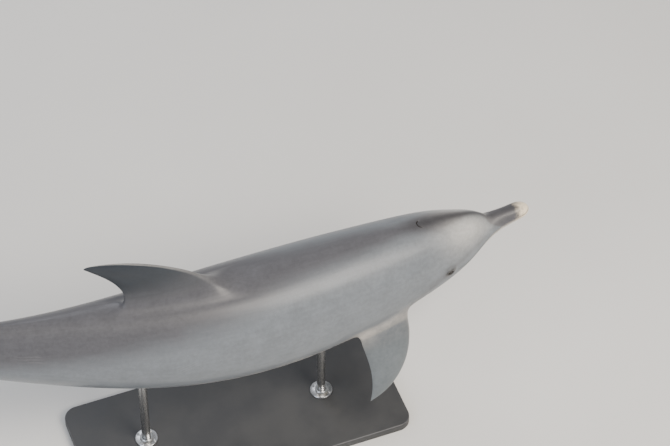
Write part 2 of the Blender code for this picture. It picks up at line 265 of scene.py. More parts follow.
def bezier(corners, share):
    """Points of a cubic curve."""
    share = np.asarray(share, float)[..., None]
    a, b, c, d = np.array(corners, float)
    rest = 1 - share
    return a * rest ** 3 + 3 * b * rest ** 2 * share + 3 * c * rest * share ** 2 + d * share ** 3


def foil(lead, trail, thick, share, turn, straight=1.0):
    """Fin surface as (back, out, thickness) at a share of its span, turn 0 on the lead.

    Past the share `straight` the outline closes in a round tip.
    """
    share, turn = np.broadcast_arrays(np.asarray(share, float), np.asarray(turn, float))
    held = np.minimum(share, straight)
    lead_at, trail_at = bezier(lead, held), bezier(trail, held)
    if straight < 1:
        ends = np.array([[bezier(edge, straight - back) for edge in (lead, trail)]
                         for back in (.005, 0)])
        middle, half = ends.mean(1), np.linalg.norm(ends[:, 1] - ends[:, 0], axis=-1) / 2
        run = middle[1] - middle[0]
        taper = math.atan2(half[0] - half[1], np.linalg.norm(run))
        angle = taper + (math.pi / 2 - taper) * np.clip((share - straight) / (1 - straight), 0, 1)
        radius = half[1] / math.cos(taper)
        ahead = unit(run) * (radius * (np.sin(angle) - math.sin(taper)))[..., None]
        narrow = np.where(share > straight, np.cos(angle) / math.cos(taper), 1)[..., None]
        centre = (lead_at + trail_at) / 2
        lead_at, trail_at = (centre + ahead + (edge - centre) * narrow
                             for edge in (lead_at, trail_at))
    chord = np.linalg.norm(trail_at - lead_at, axis=-1)
    root = np.linalg.norm(np.subtract(trail[0], lead[0]))
    across = (1 - np.cos(turn)) / 2
    half = .30 * np.sqrt(across) * (1 - across) + .10 * np.sqrt(across * (1 - across))
    half = half * thick * (.35 + .65 * (chord / root)) * np.minimum(1, 3.2 * chord / root) * 3.6
    rows = lead_at + (trail_at - lead_at) * across[..., None]
    return np.concatenate([rows, (half * np.sign(np.sin(turn)))[..., None]], -1)


def rearward(out):
    """The direction nearest to the body's length that is square to out."""
    return unit(np.array([1.0, 0, 0]) - out * out[0])


def dorsal_surface(share, turn):
    """Back fin in body space."""
    rows = foil(DORSAL_LEAD, DORSAL_TRAIL, DORSAL_THICK, share, turn, DORSAL_STRAIGHT)
    return rows[..., [0, 2, 1]] * LENGTH


def flipper_surface(share, turn):
    """Left flipper in body space; turn 0 to 180 is its inner face."""
    out = unit(np.array(FLIPPER_OUT))
    along = rearward(out)
    normal = np.cross(along, out)
    rows = foil(FLIPPER_LEAD, FLIPPER_TRAIL, FLIPPER_THICK, share, turn)
    span = rows[..., 1:2]
    curl = -0.9 * np.clip(span, 0, 1) ** 2
    return (np.array(FLIPPER_ROOT) + along * rows[..., :1] + out * span
            + normal * (curl - rows[..., 2:3])) * LENGTH


def fluke_surface(share, turn, hand):
    """Fluke in body space; hand is 1 for the left."""
    rows = foil(FLUKE_LEAD, FLUKE_TRAIL, FLUKE_THICK, share, turn) * LENGTH
    rows[..., 1] *= hand
    rows[..., 2] += waist(1.0) * LENGTH
    return rows


# ---------------------------------------------------------------------------
# One skin: a body grid with openings that the fins, eyes and blowhole fill.
# ---------------------------------------------------------------------------

def march():
    """Stations of the skin's rings, closer together on the head."""
    spacing = spline([(s, gap / LENGTH) for s, gap in SPACING_KNOTS])
    rows = list(NOSE_ROUND * (1 - np.cos(math.pi / 2 * np.linspace(0, 1, 19)[1:] ** 1.35)))
    while rows[-1] < JOIN_STATION:
        rows.append(rows[-1] + float(spacing(rows[-1])))
    rows = np.array(rows)
    late = rows > .70
    rows[late] = .70 + (rows[late] - .70) * (JOIN_STATION - .70) / (rows[-1] - .70)
    return rows


class Skin:
    """Points in body space with what the pigment needs to know, and faces."""

    def __init__(self):
        self.points, self.notes, self.faces, self.count = [], [], [], 0

    def add(self, points, station, turn, fin=0.0, span=0.0, edge=0.0, soft=0.0):
        """Add points with their notes; give back their numbers."""
        points = np.asarray(points, float).reshape(-1, 3)
        total = len(points)
        note = [np.broadcast_to(np.asarray(v, float).reshape(-1) if np.ndim(v) else v, total)
                for v in (station, turn, fin, span, edge, soft)]
        self.points.append(points)
        self.notes.append(np.column_stack(note))
        self.count += total
        return np.arange(self.count - total, self.count)

    def strip(self, first, second, flip=False):
        """Quads between two closed rows of point numbers."""
        quads = np.column_stack([first, np.roll(first, -1), np.roll(second, -1), second])
        self.faces.append(quads[:, ::-1] if flip else quads)

    def fan(self, ring, tip, flip=False):
        """Triangles from a closed row to one point."""
        tips = np.full(len(ring), tip)
        fans = np.column_stack([ring, np.roll(ring, -1), tips, tips])
        self.faces.append(fans[:, ::-1] if flip else fans)

    def arrays(self):
        """Points, notes and faces as whole arrays."""
        return np.vstack(self.points), np.vstack(self.notes), np.vstack(self.faces)


def spread_turn(station, base):
    """Column angles: drawn towards the line of the mouth on the head."""
    pull = .62 * (1 - smooth(station, .13, .20))
    return base + pull / 2 * np.sin(2 * base)


def opening_loop(rows, first, last, left, right):
    """Grid places round an opening, from its front middle over its right side."""
    middle = (left + right) // 2
    loop = [(first, c) for c in range(middle, right)]
    loop += [(r, right) for r in range(first, last)]
    loop += [(last, c) for c in range(right, left, -1)]
    loop += [(r, left) for r in range(last, first, -1)]
    loop += [(first, c) for c in range(left, middle)]
    return loop


def loop_share(points):
    """Share of the way round a closed loop, for each of its points."""
    step = np.linalg.norm(np.roll(points, -1, 0) - points, axis=1)
    return np.concatenate([[0], np.cumsum(step)[:-1]]) / step.sum()


def matched_turns(outer, inner, lead_pull=.45):
    """Foil angle for each point of the outer loop, so that both loops run in step.

    The inner loop is sampled evenly in its foil angle; points crowd at the lead
    by lead_pull, where the foil is round.
    """
    share = loop_share(outer)
    half = int(np.argmin(np.abs(share - .5)))
    steps = len(inner) - 1
    dense = np.linspace(0, 2 * math.pi, steps + 1)
    way = np.concatenate([[0], np.cumsum(np.linalg.norm(np.diff(inner, axis=0), axis=1))])
    angle = np.zeros(len(outer))
    for low, high, start, stop in ((0, half, 0, steps // 2),
                                   (half, len(outer), steps // 2, steps)):
        part = way[start:stop + 1] - way[start]
        mixed = ((1 - lead_pull) * part / part[-1]
                 + lead_pull * np.linspace(0, 1, stop - start + 1))
        end = share[high] if high < len(outer) else 1.0
        local = (share[low:high] - share[low]) / (end - share[low])
        angle[low:high] = np.interp(local, mixed, dense[start:stop + 1])
    return angle


def crossing(surface, turn, high=.7):
    """Share of a fin's span at which each of its lines leaves the body."""
    low, high = np.zeros(len(turn)), np.full(len(turn), high)
    for _ in range(40):
        middle = (low + high) / 2
        inside = body_turn(surface(middle, turn))[2] < 1
        low, high = np.where(inside, middle, low), np.where(inside, high, middle)
    return (low + high) / 2


def body_normal(points):
    """Outward direction of the body at the points."""
    station, turn, _ = body_turn(points)
    step = 1e-4
    along = body_point(station + step, turn) - body_point(station - step, turn)
    around = body_point(station, turn + step) - body_point(station, turn - step)
    return unit(np.cross(along, around))


def graft_fin(skin, loop, surface, reach, rows, hands=(1,), lead_in=5, fillet=9):
    """Grow a fin out of an opening, with a soft fillet round its root."""
    ids, station, turn = loop
    dense = np.linspace(0, 2 * math.pi, 721)
    angle = matched_turns(body_point(station, turn), surface(crossing(surface, dense), dense))
    share = crossing(surface, angle)
    root = surface(share, angle)
    reach = reach(angle)
    tangent = unit(np.roll(root, -1, 0) - np.roll(root, 1, 0))
    outward = np.cross(tangent, body_normal(root))
    outward *= np.sign(((root - root.mean(0)) * outward).sum())
    foot_station, foot_turn, _ = body_turn(root + outward * reach[:, None])
    foot = body_point(foot_station, foot_turn)
    speed = np.linalg.norm(surface(share + .01, angle) - surface(share - .01, angle), axis=1) / .02
    start = share + reach / speed
    head = surface(start, angle)
    none = np.zeros(len(turn))
    layers = []
    for s in np.linspace(0, 1, lead_in + 1)[1:]:
        row_station = station + (foot_station - station) * s
        row_turn = turn + (foot_turn - turn) * s
        layers.append((body_point(row_station, row_turn), row_station, row_turn, none, none, s))
    for s in np.linspace(0, 1, fillet)[1:]:
        points = foot * (1 - s) ** 2 + 2 * root * s * (1 - s) + head * s ** 2
        at = body_turn(points)
        layers.append((points, at[0], at[1], none + .45 * s * s, none, 1.0))
    for s in np.sin(np.linspace(0, 1, rows + 1)[1:] * math.pi / 2):
        here = start + (LAST_RING - start) * s
        grown = .45 + .55 * smooth(s, 0, .42)
        layers.append((surface(here, angle), foot_station, foot_turn, none + grown, here,
                       1 - smooth(s, 0, .12)))
    tip = surface(np.array([1.0]), np.array([0.0]))
    across = (1 - np.cos(angle)) / 2
    for hand, before in zip(hands, ids):
        mirror = np.array([1, hand, 1])
        for points, row_station, row_turn, grown, span, soft in layers:
            row = skin.add(points * mirror, row_station, row_turn * hand, grown, span, across,
                           soft)
            skin.strip(before, row, flip=hand < 0)
            before = row
        end = skin.add(tip * mirror, foot_station[:1], foot_turn[:1] * hand, 1.0, 1.0, .5)[0]
        skin.fan(before, end, flip=hand < 0)


def build_skin():
    """The body's grid with its openings cut, and what is grafted into them."""
    skin = Skin()
    rows = march()
    base = np.arange(COLUMNS) * 2 * math.pi / COLUMNS
    turn = spread_turn(rows[:, None], base[None])
    station = np.broadcast_to(rows[:, None], turn.shape)
    ids = skin.add(body_point(station, turn), station, turn,
                   soft=smooth(station, JOIN_STATION - .03, JOIN_STATION)).reshape(turn.shape)
    nose = body_point(0.0, math.pi / 2)
    nose_id = skin.add(nose, 0.0, math.pi / 2)[0]
    skin.fan(ids[0], nose_id, flip=True)

    def place_of(share, degrees):
        row = int(np.argmin(np.abs(rows - share)))
        column = int(np.argmin(np.abs(turn[row] - math.radians(degrees))))
        return row, column

    openings = {}

    def opening(name, start, end, low, high):
        """Keep the grid's place of an opening between two stations and two turns."""
        first, last = place_of(start, 0)[0], place_of(end, 0)[0]
        centre = (start + end) / 2
        left = place_of(centre, low)[1] if low >= 0 else -place_of(centre, -low)[1]
        right = place_of(centre, high)[1]
        openings[name] = (first, last, left, right + (right - left) % 2)

    opening("dorsal", .386, .608, -25, 25)
    opening("flipper", .180, .298, 98, 152)
    eye_half = math.degrees(EYE_PATCH / .06)        # the head's radius there
    eye_turn = math.degrees(body_turn(eye_centre()[None])[1][0])
    opening("eye", EYE_STATION - EYE_PATCH, EYE_STATION + EYE_PATCH, eye_turn - eye_half,
            eye_turn + eye_half)
    opening("blowhole", BLOWHOLE_STATION - .0140, BLOWHOLE_STATION + .0140, -18, 18)

    hole = np.zeros((len(rows), COLUMNS), bool)
    for name, (first, last, left, right) in openings.items():
        for hand in (1, -1) if name in ("flipper", "eye") else (1,):
            for c in range(left, right):
                column = c if hand > 0 else -c - 1
                hole[first:last, column % COLUMNS] = True
    for r in range(len(rows) - 1):
        quads = np.column_stack([ids[r], np.roll(ids[r], -1), np.roll(ids[r + 1], -1),
                                 ids[r + 1]])
        skin.faces.append(quads[~hole[r]])

    def loop(name, both=False):
        """Rim of an opening: point numbers on one or both sides, stations, turns."""
        places = opening_loop(rows, *openings[name])
        r = np.array([p[0] for p in places])
        c = np.array([p[1] for p in places])
        sides = [ids[r, c % COLUMNS]] + ([ids[r, -c % COLUMNS]] if both else [])
        angle = turn[r, c % COLUMNS]
        angle = np.where(c < 0, angle - 2 * math.pi, angle)
        return sides, rows[r], angle

    graft_fin(skin, loop("dorsal"), dorsal_surface,
              lambda a: .027 + .040 * np.cos(a / 2) ** 6, 30)
    graft_fin(skin, loop("flipper", True), flipper_surface, lambda a: .017 + 0 * a, 44,
              hands=(1, -1))
    graft_eye(skin, loop("eye", True))
    graft_blowhole(skin, loop("blowhole"))
    graft_flukes(skin, (ids[-1], rows[-1], turn[-1]))
    return skin


def eye_axes():
    """Outward, backward and upward directions of the left eye."""
    out = unit(np.array(EYE_OUT))
    rear = rearward(out)
    return out, rear, np.cross(rear, out)


def eye_centre():
    """Left ball's centre in body space, set in so that it stands out by EYE_BULGE."""
    points = body_point(EYE_STATION, np.linspace(0.3, 2.2, 400))
    k = int(np.abs(points[:, 2] - EYE_HEIGHT * LENGTH).argmin())
    return points[k] - eye_axes()[0] * (EYE_RADIUS - EYE_BULGE)


def graft_eye(skin, loop):
    """Lids draped over the ball, and the pocket that it sits in."""
    ids, station, turn = loop
    centre = eye_centre()
    out, rear, high = eye_axes()
    flat = body_point(station, turn) - centre
    far_x, far_y = flat @ rear, flat @ high
    angle = np.arctan2(far_y, far_x)
    ball = EYE_RADIUS + .0003

    def opening(grow):
        """Almond outline of the eye, grown outwards, on its own plane."""
        sharp = .45 * np.exp(-max(grow, 0) / .004)
        x = (EYE_LONG + grow) * np.cos(angle)
        y = (EYE_TALL + grow) * np.sin(angle) * np.abs(np.sin(angle)) ** sharp
        return x, y + .0008 * np.cos(angle) * np.exp(-max(grow, 0) / .006)

    def drape(x, y, share):
        """Skin laid over the head and, near the eye, over the ball."""
        at = body_turn(centre + rear * x[:, None] + high * y[:, None]
                       + out * (EYE_RADIUS - EYE_BULGE))
        points = body_point(at[0], at[1])
        head = (points - centre) @ out
        over = np.sqrt(np.maximum(ball ** 2 - x ** 2 - y ** 2, 1e-8)) + LID_THICK
        height, back_spread, up_spread = MOUND
        mound = head + height * bell(x, 0, back_spread) * bell(y, .001, up_spread)
        soft = .0030
        level = np.maximum(mound, over) + soft * np.log1p(np.exp(-np.abs(mound - over) / soft))
        return points + out * ((level - head - soft * .25) * share)[:, None], at

    layers = []
    near_x, near_y = opening(LID_REACH)
    for s in np.linspace(0, 1, 6)[1:]:
        layers.append(drape(far_x + (near_x - far_x) * s, far_y + (near_y - far_y) * s,
                            smooth(s, .1, 1.0)))
    upper = smooth(np.sin(angle), -.1, .5)
    for grow in LID_RINGS:
        points, at = drape(*opening(grow), 1.0)
        fold = sum(height * share * bell(grow, place, width)
                   for share, folds in ((upper, UPPER_FOLDS), (1 - upper, LOWER_FOLDS),
                                        (1, [LID_RIM]))
                   for height, place, width in folds)
        layers.append((points + out * fold[:, None], at))
    rim_x, rim_y = opening(-.0002)
    top = (layers[-1][0] - centre) @ out
    floor = np.sqrt(ball ** 2 - rim_x ** 2 - rim_y ** 2)
    inward = np.hypot(rim_x, rim_y)
    for s in (.30, .62, 1.0):
        level = top + (floor - top) * s
        layers.append((centre + rear * rim_x[:, None] + high * rim_y[:, None]
                       + out * level[:, None], layers[-1][1]))
    # Behind the rim the pocket follows the ball.
    for depth in (.0025, .0065, .0120, .0180):
        level = floor - depth
        wide = np.sqrt(np.maximum(ball ** 2 - level ** 2, 1e-8)) / inward
        layers.append((centre + rear * (rim_x * wide)[:, None] + high * (rim_y * wide)[:, None]
                       + out * level[:, None], layers[-1][1]))
    for hand, before in zip((1, -1), ids):
        mirror = np.array([1, hand, 1])
        for points, at in layers:
            row = skin.add(points * mirror, at[0], at[1] * hand)
            skin.strip(before, row, flip=hand < 0)
            before = row
        end = skin.add((centre - out * ball) * mirror, EYE_STATION, turn.mean() * hand)[0]
        skin.fan(before, end, flip=hand < 0)


def graft_blowhole(skin, loop):
    """A crescent slit in rings about its own centre, horns pointing forward."""
    ids, station, turn = loop
    outer = body_point(station, turn)
    centre = body_point(BLOWHOLE_STATION, 0.0)
    normal = body_normal(centre[None])[0]
    flat = outer - centre
    angle = np.arctan2(flat[:, 1], flat[:, 0])
    far = np.hypot(flat[:, 0], flat[:, 1])
    rim = BLOWHOLE_RADIUS * 1.7
    opened = 1 - smooth(np.abs(angle), .75, 1.95)
    before = ids[0]
    rings = [BLOWHOLE_RADIUS * s + 0 * far for s in BLOWHOLE_RINGS]
    for reach in [(far + rim) / 2, rim + 0 * far] + rings:
        points = centre + np.stack([np.cos(angle) * reach, np.sin(angle) * reach, 0 * angle], -1)
        at = body_turn(points)
        off = reach - BLOWHOLE_RADIUS
        cut = -.0045 * bell(off, 0, .0010)
        lip = .0013 * bell(off, .0036, .0028)
        plug = .0012 * np.exp(-(reach / .0105) ** 4)
        rise = (cut + lip) * opened + plug
        row = skin.add(body_point(at[0], at[1]) + normal * rise[:, None], at[0], at[1])
        skin.strip(before, row)
        before = row
    end = skin.add(centre + normal * .0012, BLOWHOLE_STATION, 0.0)[0]
    skin.fan(before, end)


def graft_flukes(skin, stock):
    """Both flukes as one blade, with the tail stock running into its lead."""
    inner = np.linspace(0, .235, FLUKE_ROWS_IN + 1)
    outer = inner[-1] + (LAST_RING - inner[-1]) * np.sin(np.linspace(0, 1, 41)[1:] * math.pi / 2)
    share = np.concatenate([inner, outer])
    steps = FLUKE_STEPS_IN
    rest = FLUKE_STEPS - 2 * steps
    lead_edge = math.acos(1 - 2 * .60)
    upper = lead_edge * np.linspace(0, 1, steps + 1)
    far = np.linspace(lead_edge, 2 * math.pi - lead_edge, rest + 1)
    angle = np.concatenate([upper, far[1:-1], 2 * math.pi - upper[::-1][:-1]])
    rings = {}
    for row in range(-len(share) + 1, len(share)):
        u = share[abs(row)]
        points = fluke_surface(u, angle, 1 if row >= 0 else -1)
        across = (1 - np.cos(angle)) / 2
        wing = np.where(np.sin(angle) >= 0, 30.0, 150.0)
        rings[row] = (points, across, u, np.radians(wing) * (1 if row >= 0 else -1))
    inside = FLUKE_ROWS_IN
    numbers = {}
    for row, (points, across, u, wing) in rings.items():
        near = (1 - smooth(u, .22, .36)) * (1 - smooth(across, .55, .80))
        unworn = .06 * (1 - smooth(u, .22, .50))
        numbers[row] = skin.add(points, points[:, 0] / LENGTH, wing, 1.0, u, across + unworn,
                                near)
    count = len(angle)
    for row in range(-len(share) + 1, len(share) - 1):
        first, second = numbers[row], numbers[row + 1]
        for k in range(count):
            middle = k if k < count / 2 else k - count
            if -inside <= row < inside and -steps <= middle < steps:
                continue
            after = (k + 1) % count
            skin.faces.append(np.array([[first[k], second[k], second[after], first[after]]]))
    for hand in (1, -1):
        end = hand * (len(share) - 1)
        tip = fluke_surface(np.array([1.0]), np.array([0.0]), hand)
        tip_id = skin.add(tip, tip[:, 0] / LENGTH, 1.0 * hand, 1.0, 1.0, .5)[0]
        skin.fan(numbers[end], tip_id, flip=hand > 0)
    places = [(r, steps) for r in range(0, inside)]
    places += [(inside, k) for k in range(steps, -steps, -1)]
    places += [(r, -steps) for r in range(inside, -inside, -1)]
    places += [(-inside, k) for k in range(-steps, steps)]
    places += [(r, steps) for r in range(-inside, 0)]
    edge_ids = np.array([numbers[r][k % count] for r, k in places])
    edge = np.array([rings[r][0][k % count] for r, k in places])
    leave = []
    for r, k in places:
        here = rings[r][0]
        chordwise = unit(here[(k + 1) % count] - here[(k - 1) % count]) * (1 if k > 0 else -1)
        further = rings[r + 1 if r >= 0 else r - 1][0]
        spanwise = unit(further[k % count] - here[k % count])
        at_side = smooth(np.array(abs(r) / inside), .55, 1.0)
        at_rear = smooth(np.array(abs(k) / steps), .45, 1.0)
        leave.append(unit(chordwise * at_rear * (1.001 - at_side * .5) + spanwise * at_side))
    leave = np.array(leave)
    for _ in range(6):
        leave = unit(np.roll(leave, 1, 0) + leave * 2 + np.roll(leave, -1, 0))
    join_stock(skin, stock, edge_ids, edge, leave)


def join_stock(skin, stock, edge_ids, edge, leave):
    """Run the tail stock's last ring smoothly into the edge that the blade leaves open."""
    before, station, turn = stock
    start = body_point(station, turn)
    going = unit(start - body_point(station - .004, turn))
    gap = np.linalg.norm(edge - start, axis=1, keepdims=True)
    for s in np.arange(1, JOIN_RINGS) / JOIN_RINGS:
        points = (start * (1 - s) ** 3 + 3 * (start + going * gap * .40) * (1 - s) ** 2 * s
                  + 3 * (edge - leave * gap * .36) * (1 - s) * s ** 2 + edge * s ** 3)
        row = skin.add(points, points[:, 0] / LENGTH, turn, s * s, 0.0, .3, 1.0)
        skin.strip(before, row)
        before = row
    skin.strip(before, edge_ids)


def relax(points, faces, weight, rounds):
    """Even out the points towards their neighbours, as far as each one's weight allows."""
    edges = np.vstack([faces[:, [k, (k + 1) % 4]] for k in range(4)])
    edges = np.unique(np.sort(edges[edges[:, 0] != edges[:, 1]], axis=1), axis=0)
    moving = weight > 0
    edges = edges[moving[edges].any(axis=1)]
    count = np.maximum(np.bincount(edges.ravel(), minlength=len(points)), 1)[:, None]
    for _ in range(rounds):
        total = np.stack([np.bincount(edges[:, 0], points[edges[:, 1], k], len(points))
                          + np.bincount(edges[:, 1], points[edges[:, 0], k], len(points))
                          for k in range(3)], -1)
        points = points + (total / count - points) * (weight * .5)[:, None]
    return points


def corner_normals(points, faces):
    """Area-weighted normals at the points."""
    cross = np.cross(points[faces[:, 2]] - points[faces[:, 0]],
                     points[faces[:, 3]] - points[faces[:, 1]])
    normals = np.zeros_like(points)
    for k in range(4):
        np.add.at(normals, faces[:, k], cross)
    return unit(normals)


# ---------------------------------------------------------------------------
# Fine form, laid on along the skin's normals.
# ---------------------------------------------------------------------------

# Lower edge of the dark cape and upper edge of the pale belly, degrees from the back's middle.
CAPE_KNOTS = [(0, 70), (.050, 66), (.064, 12), (.10, 11), (.16, 13), (.23, 15), (.30, 18),
              (.36, 25), (.42, 37), (.50, 50), (.58, 62), (.68, 76), (.80, 94), (.90, 120),
              (1.02, 140)]
PALE_KNOTS = [(0, 96), (.06, 98), (.10, 106), (.16, 116), (.24, 120), (.36, 124),
              (.48, 130), (.58, 140), (.66, 150), (.74, 158), (.84, 166), (1.02, 176)]
# Each rake: side (left 1), station, metres round from the back's middle, lean, half-length.
RAKES = [(-1, .335, .20, -.35, .060), (-1, .500, .24, .25, .050), (-1, .690, .12, -.15, .050),
         (1, .270, .15, -.30, .050), (1, .560, .20, .30, .060), (1, .430, .26, -.10, .040)]
BELLY_FOLDS = ((.466, .472), (.606, .640), (.688, .697))      # navel, genital slit, vent
NECK_CREASES = (.176, .188, .2015)
GROOVE_DEPTH, GROOVE_WIDTH = .0028, .0014       # of the line of the mouth
# Small swellings and dents at brow, cheek and ear: height, station, spread, turn, spread.
SWELLINGS = ((.0024, EYE_STATION + .001, .017, 1.30, .17),
             (.0016, EYE_STATION + .004, .020, 1.78, .18),
             (-.0012, EYE_STATION + .026, .0013, 1.60, .012))
# Pigment fields, and the painted shade of the mouth line and blowhole slit, that the skin carries
# to its material.
FIELDS = ("station", "cape", "pale", "tip", "melon", "crest", "stripe", "mouth", "ring", "keel",
          "around", "across", "upward", "fin", "span", "edge", "flipper")


def folded(turn):
    """Turn from the back down either side, 0 to 180 degrees, in radians."""
    return np.abs((turn + math.pi) % (2 * math.pi) - math.pi)


def mouth_arc(station, turn):
    """Distance below the line of the mouth, in metres."""
    crown = (back(station) + belly(station)) / 2 * LENGTH * rounding(station)
    return -np.cos(turn) * crown - spline(SMILE_KNOTS)(station)


def mouth_gap(station, turn):
    """Distance from the line of the mouth, which ends at its corner."""
    return np.hypot(mouth_arc(station, turn), np.maximum(0, station - GAPE_STATION) * LENGTH)


def blowhole_gap(points):
    """Distance from the crescent slit of the blowhole, which ends in two horns."""
    flat = (points - body_point(BLOWHOLE_STATION, 0.0))[:, :2]
    angle = np.abs(np.arctan2(flat[:, 1], flat[:, 0]))
    return (np.abs(np.linalg.norm(flat, axis=1) - BLOWHOLE_RADIUS)
            + .006 * smooth(angle, .9, 2.0) + .05 * (angle > 2.2) + (points[:, 2] < 0))


def fine_form(notes):
    """Height in metres to lay on each point: lips, creases, folds and soft relief."""
    station, turn, part = notes[:, 0], folded(notes[:, 1]), notes[:, 2]
    on_body = 1 - np.clip(part, 0, 1)
    arc = mouth_arc(station, turn)
    in_mouth = 1 - smooth(station, GAPE_STATION - .012, GAPE_STATION + .002)
    fade = 1 - .55 * smooth(station, GAPE_STATION - .020, GAPE_STATION)
    groove = -GROOVE_DEPTH * fade * bell(mouth_gap(station, turn), 0, GROOVE_WIDTH)
    lips = .0011 * bell(arc, -.0050, .0036) + .0010 * bell(arc, .0048, .0032)
    corner = (-.0010 * bell(station, GAPE_STATION + .0035, .0030) * bell(arc, .001, .007)
              + .0010 * bell(station, GAPE_STATION + .0075, .0030) * bell(arc, .001, .010))
    lag = CREASE_LAG * np.sin(turn) ** 2
    crease = (-.0016 * bell(station - lag, .0580, .0022)
              * (1 - smooth(turn, .95, 1.5)))
    soft_parts = sum(height * bell(station, at, spread) * bell(turn, round_at, round_spread)
                     for height, at, spread, round_at, round_spread in SWELLINGS)
    neck = sum(-.0009 * bell(station - .005 * np.cos(turn * 2), at, .0018)
               for at in NECK_CREASES) * smooth(turn, .6, 1.3)
    chin = -.0007 * bell(station - .010 * np.sin(turn), .062, .0030) * smooth(turn, 2.2, 2.8)
    muscle = (.0016 * bell(turn, .62, .26) * smooth(station, .20, .32)
              * (1 - smooth(station, .60, .80)))
    ribs = (.0007 * np.cos((station + .016 * np.cos(turn)) * 205) * bell(turn, 1.62, .42)
            * smooth(station, .25, .30) * (1 - smooth(station, .42, .50)))
    keel = .0020 * bell(turn, 0, .10) * smooth(station, .66, .74) * (1 - smooth(station, .84, .90))
    shallow = .60 + .40 * smooth(station, 0, .0060)
    return on_body * (shallow * (groove + in_mouth * lips) + corner + crease + soft_parts
                      + neck + chin + muscle + ribs + keel)


def marks(points, notes):
    """Pigment fields and painted shade at every point, each a smooth number for the material."""
    station, turn, grown, span, edge, _ = notes.T
    fold = folded(turn)
    side_turn = np.degrees(fold)
    on_body = 1 - grown
    girth = (back(station) + belly(station) + 2 * side(station)) / 4 * LENGTH
    melon = bell(station, .098, .036) * bell(side_turn, 33, 29)
    crest = (bell(side_turn, 0, 12) * smooth(station, .055, .066) * (1 - smooth(station, .15, .19))
             + .66 * bell(side_turn, 0, 55) * (1 - smooth(station, .052, .064)))
    # A dark stripe runs from the eye to the flipper, and a faint one to the beak's base.
    to_fin = np.clip((station - EYE_STATION) / (.205 - EYE_STATION), 0, 1)
    stripe = (bell(side_turn, 84 + 32 * to_fin ** 1.3, 7 + 5 * to_fin)
              * smooth(station, EYE_STATION - .006, EYE_STATION + .01)
              * (1 - smooth(station, .205, .235)))
    ahead = np.clip((EYE_STATION - station) / (EYE_STATION - .066), 0, 1)
    bridle = (bell(side_turn, 82 - 14 * ahead, 5) * smooth(station, .064, .075)
              * (1 - smooth(station, EYE_STATION - .012, EYE_STATION)))
    _, rear, high = eye_axes()
    near = points * [1, 0, 1] + np.abs(points) * [0, 1, 0] - eye_centre()
    from_eye = np.linalg.norm(near, axis=1)
    almond = np.hypot(near @ rear / EYE_LONG, near @ high / EYE_TALL)
    lids = (1 - smooth(almond, 1.05, 2.0)) * (from_eye < .03)
    thinner = .0007 * smooth(station, GAPE_STATION - .020, GAPE_STATION)
    # The material paints shade along the mouth line and the blowhole's slit, as far as these
    # distances reach.
    mouth = np.minimum(mouth_gap(station, turn) + thinner, blowhole_gap(points))
    return {"station": station, "fin": grown, "span": span * grown, "edge": edge,
            "cape": (spline(CAPE_KNOTS)(station) - side_turn) / (48 + 42 * smooth(station, .1, .4)),
            "pale": (side_turn - spline(PALE_KNOTS)(station)) / 90,
            "tip": 1 - station / .021 - .25 * np.cos(fold),
            "melon": melon * on_body, "crest": crest * on_body,
            "stripe": np.clip(stripe + .6 * bridle, 0, 1) * on_body,
            "mouth": mouth + grown, "ring": .55 * lids + .45 * (1 - smooth(from_eye, .0175, .036)),
            "keel": (math.pi - fold) * girth + grown,
            "around": fold * girth, "across": girth * np.sin(turn), "upward": girth * np.cos(turn),
            "flipper": grown * smooth(-points[:, 2], 0, .05) * (station < .5)}


# ---------------------------------------------------------------------------
# Materials
# ---------------------------------------------------------------------------

# Node kinds and settings that the trees share.
NOISE, MATH, RANGE, MIX = ("ShaderNodeTexNoise", "ShaderNodeMath", "ShaderNodeMapRange",
                           "ShaderNodeMix")
PLUS, TIMES, TIMES_PLUS = ({"operation": name} for name in ("ADD", "MULTIPLY", "MULTIPLY_ADD"))
SOFT = {"interpolation_type": "SMOOTHSTEP"}
PAINT = {"data_type": "RGBA"}


def linear(hex_colour):
    """sRGB hex to linear RGBA."""
    values = [int(hex_colour[k:k + 2], 16) / 255 for k in (1, 3, 5)]
    return (*[v / 12.92 if v <= .04045 else ((v + .055) / 1.055) ** 2.4 for v in values], 1)


def add_node(tree, kind, settings=None, output=None, **inputs):
    """Add a node with its settings and links; give back the node or one of its outputs.

    An input goes by its label, or by its number after an underscore.
    """
    node = tree.nodes.new(kind)
    for key, value in (settings or {}).items():
        setattr(node, key, value)
    for key, value in inputs.items():
        socket = node.inputs[int(key[1:]) if key[0] == "_" else key.replace("_", " ")]
        if isinstance(value, bpy.types.NodeSocket):
            tree.links.new(value, socket)
        else:
            socket.default_value = value
    return node if output is None else node.outputs[output]


def new_material(name, **values):
    """A material, its tree and its shader, with the shader's even values set."""
    made = bpy.data.materials.new(name)
    made.use_nodes = True
    shader = made.node_tree.nodes["Principled BSDF"]
    for key, value in values.items():
        shader.inputs[key.replace("_", " ")].default_value = value
    return made, made.node_tree, shader


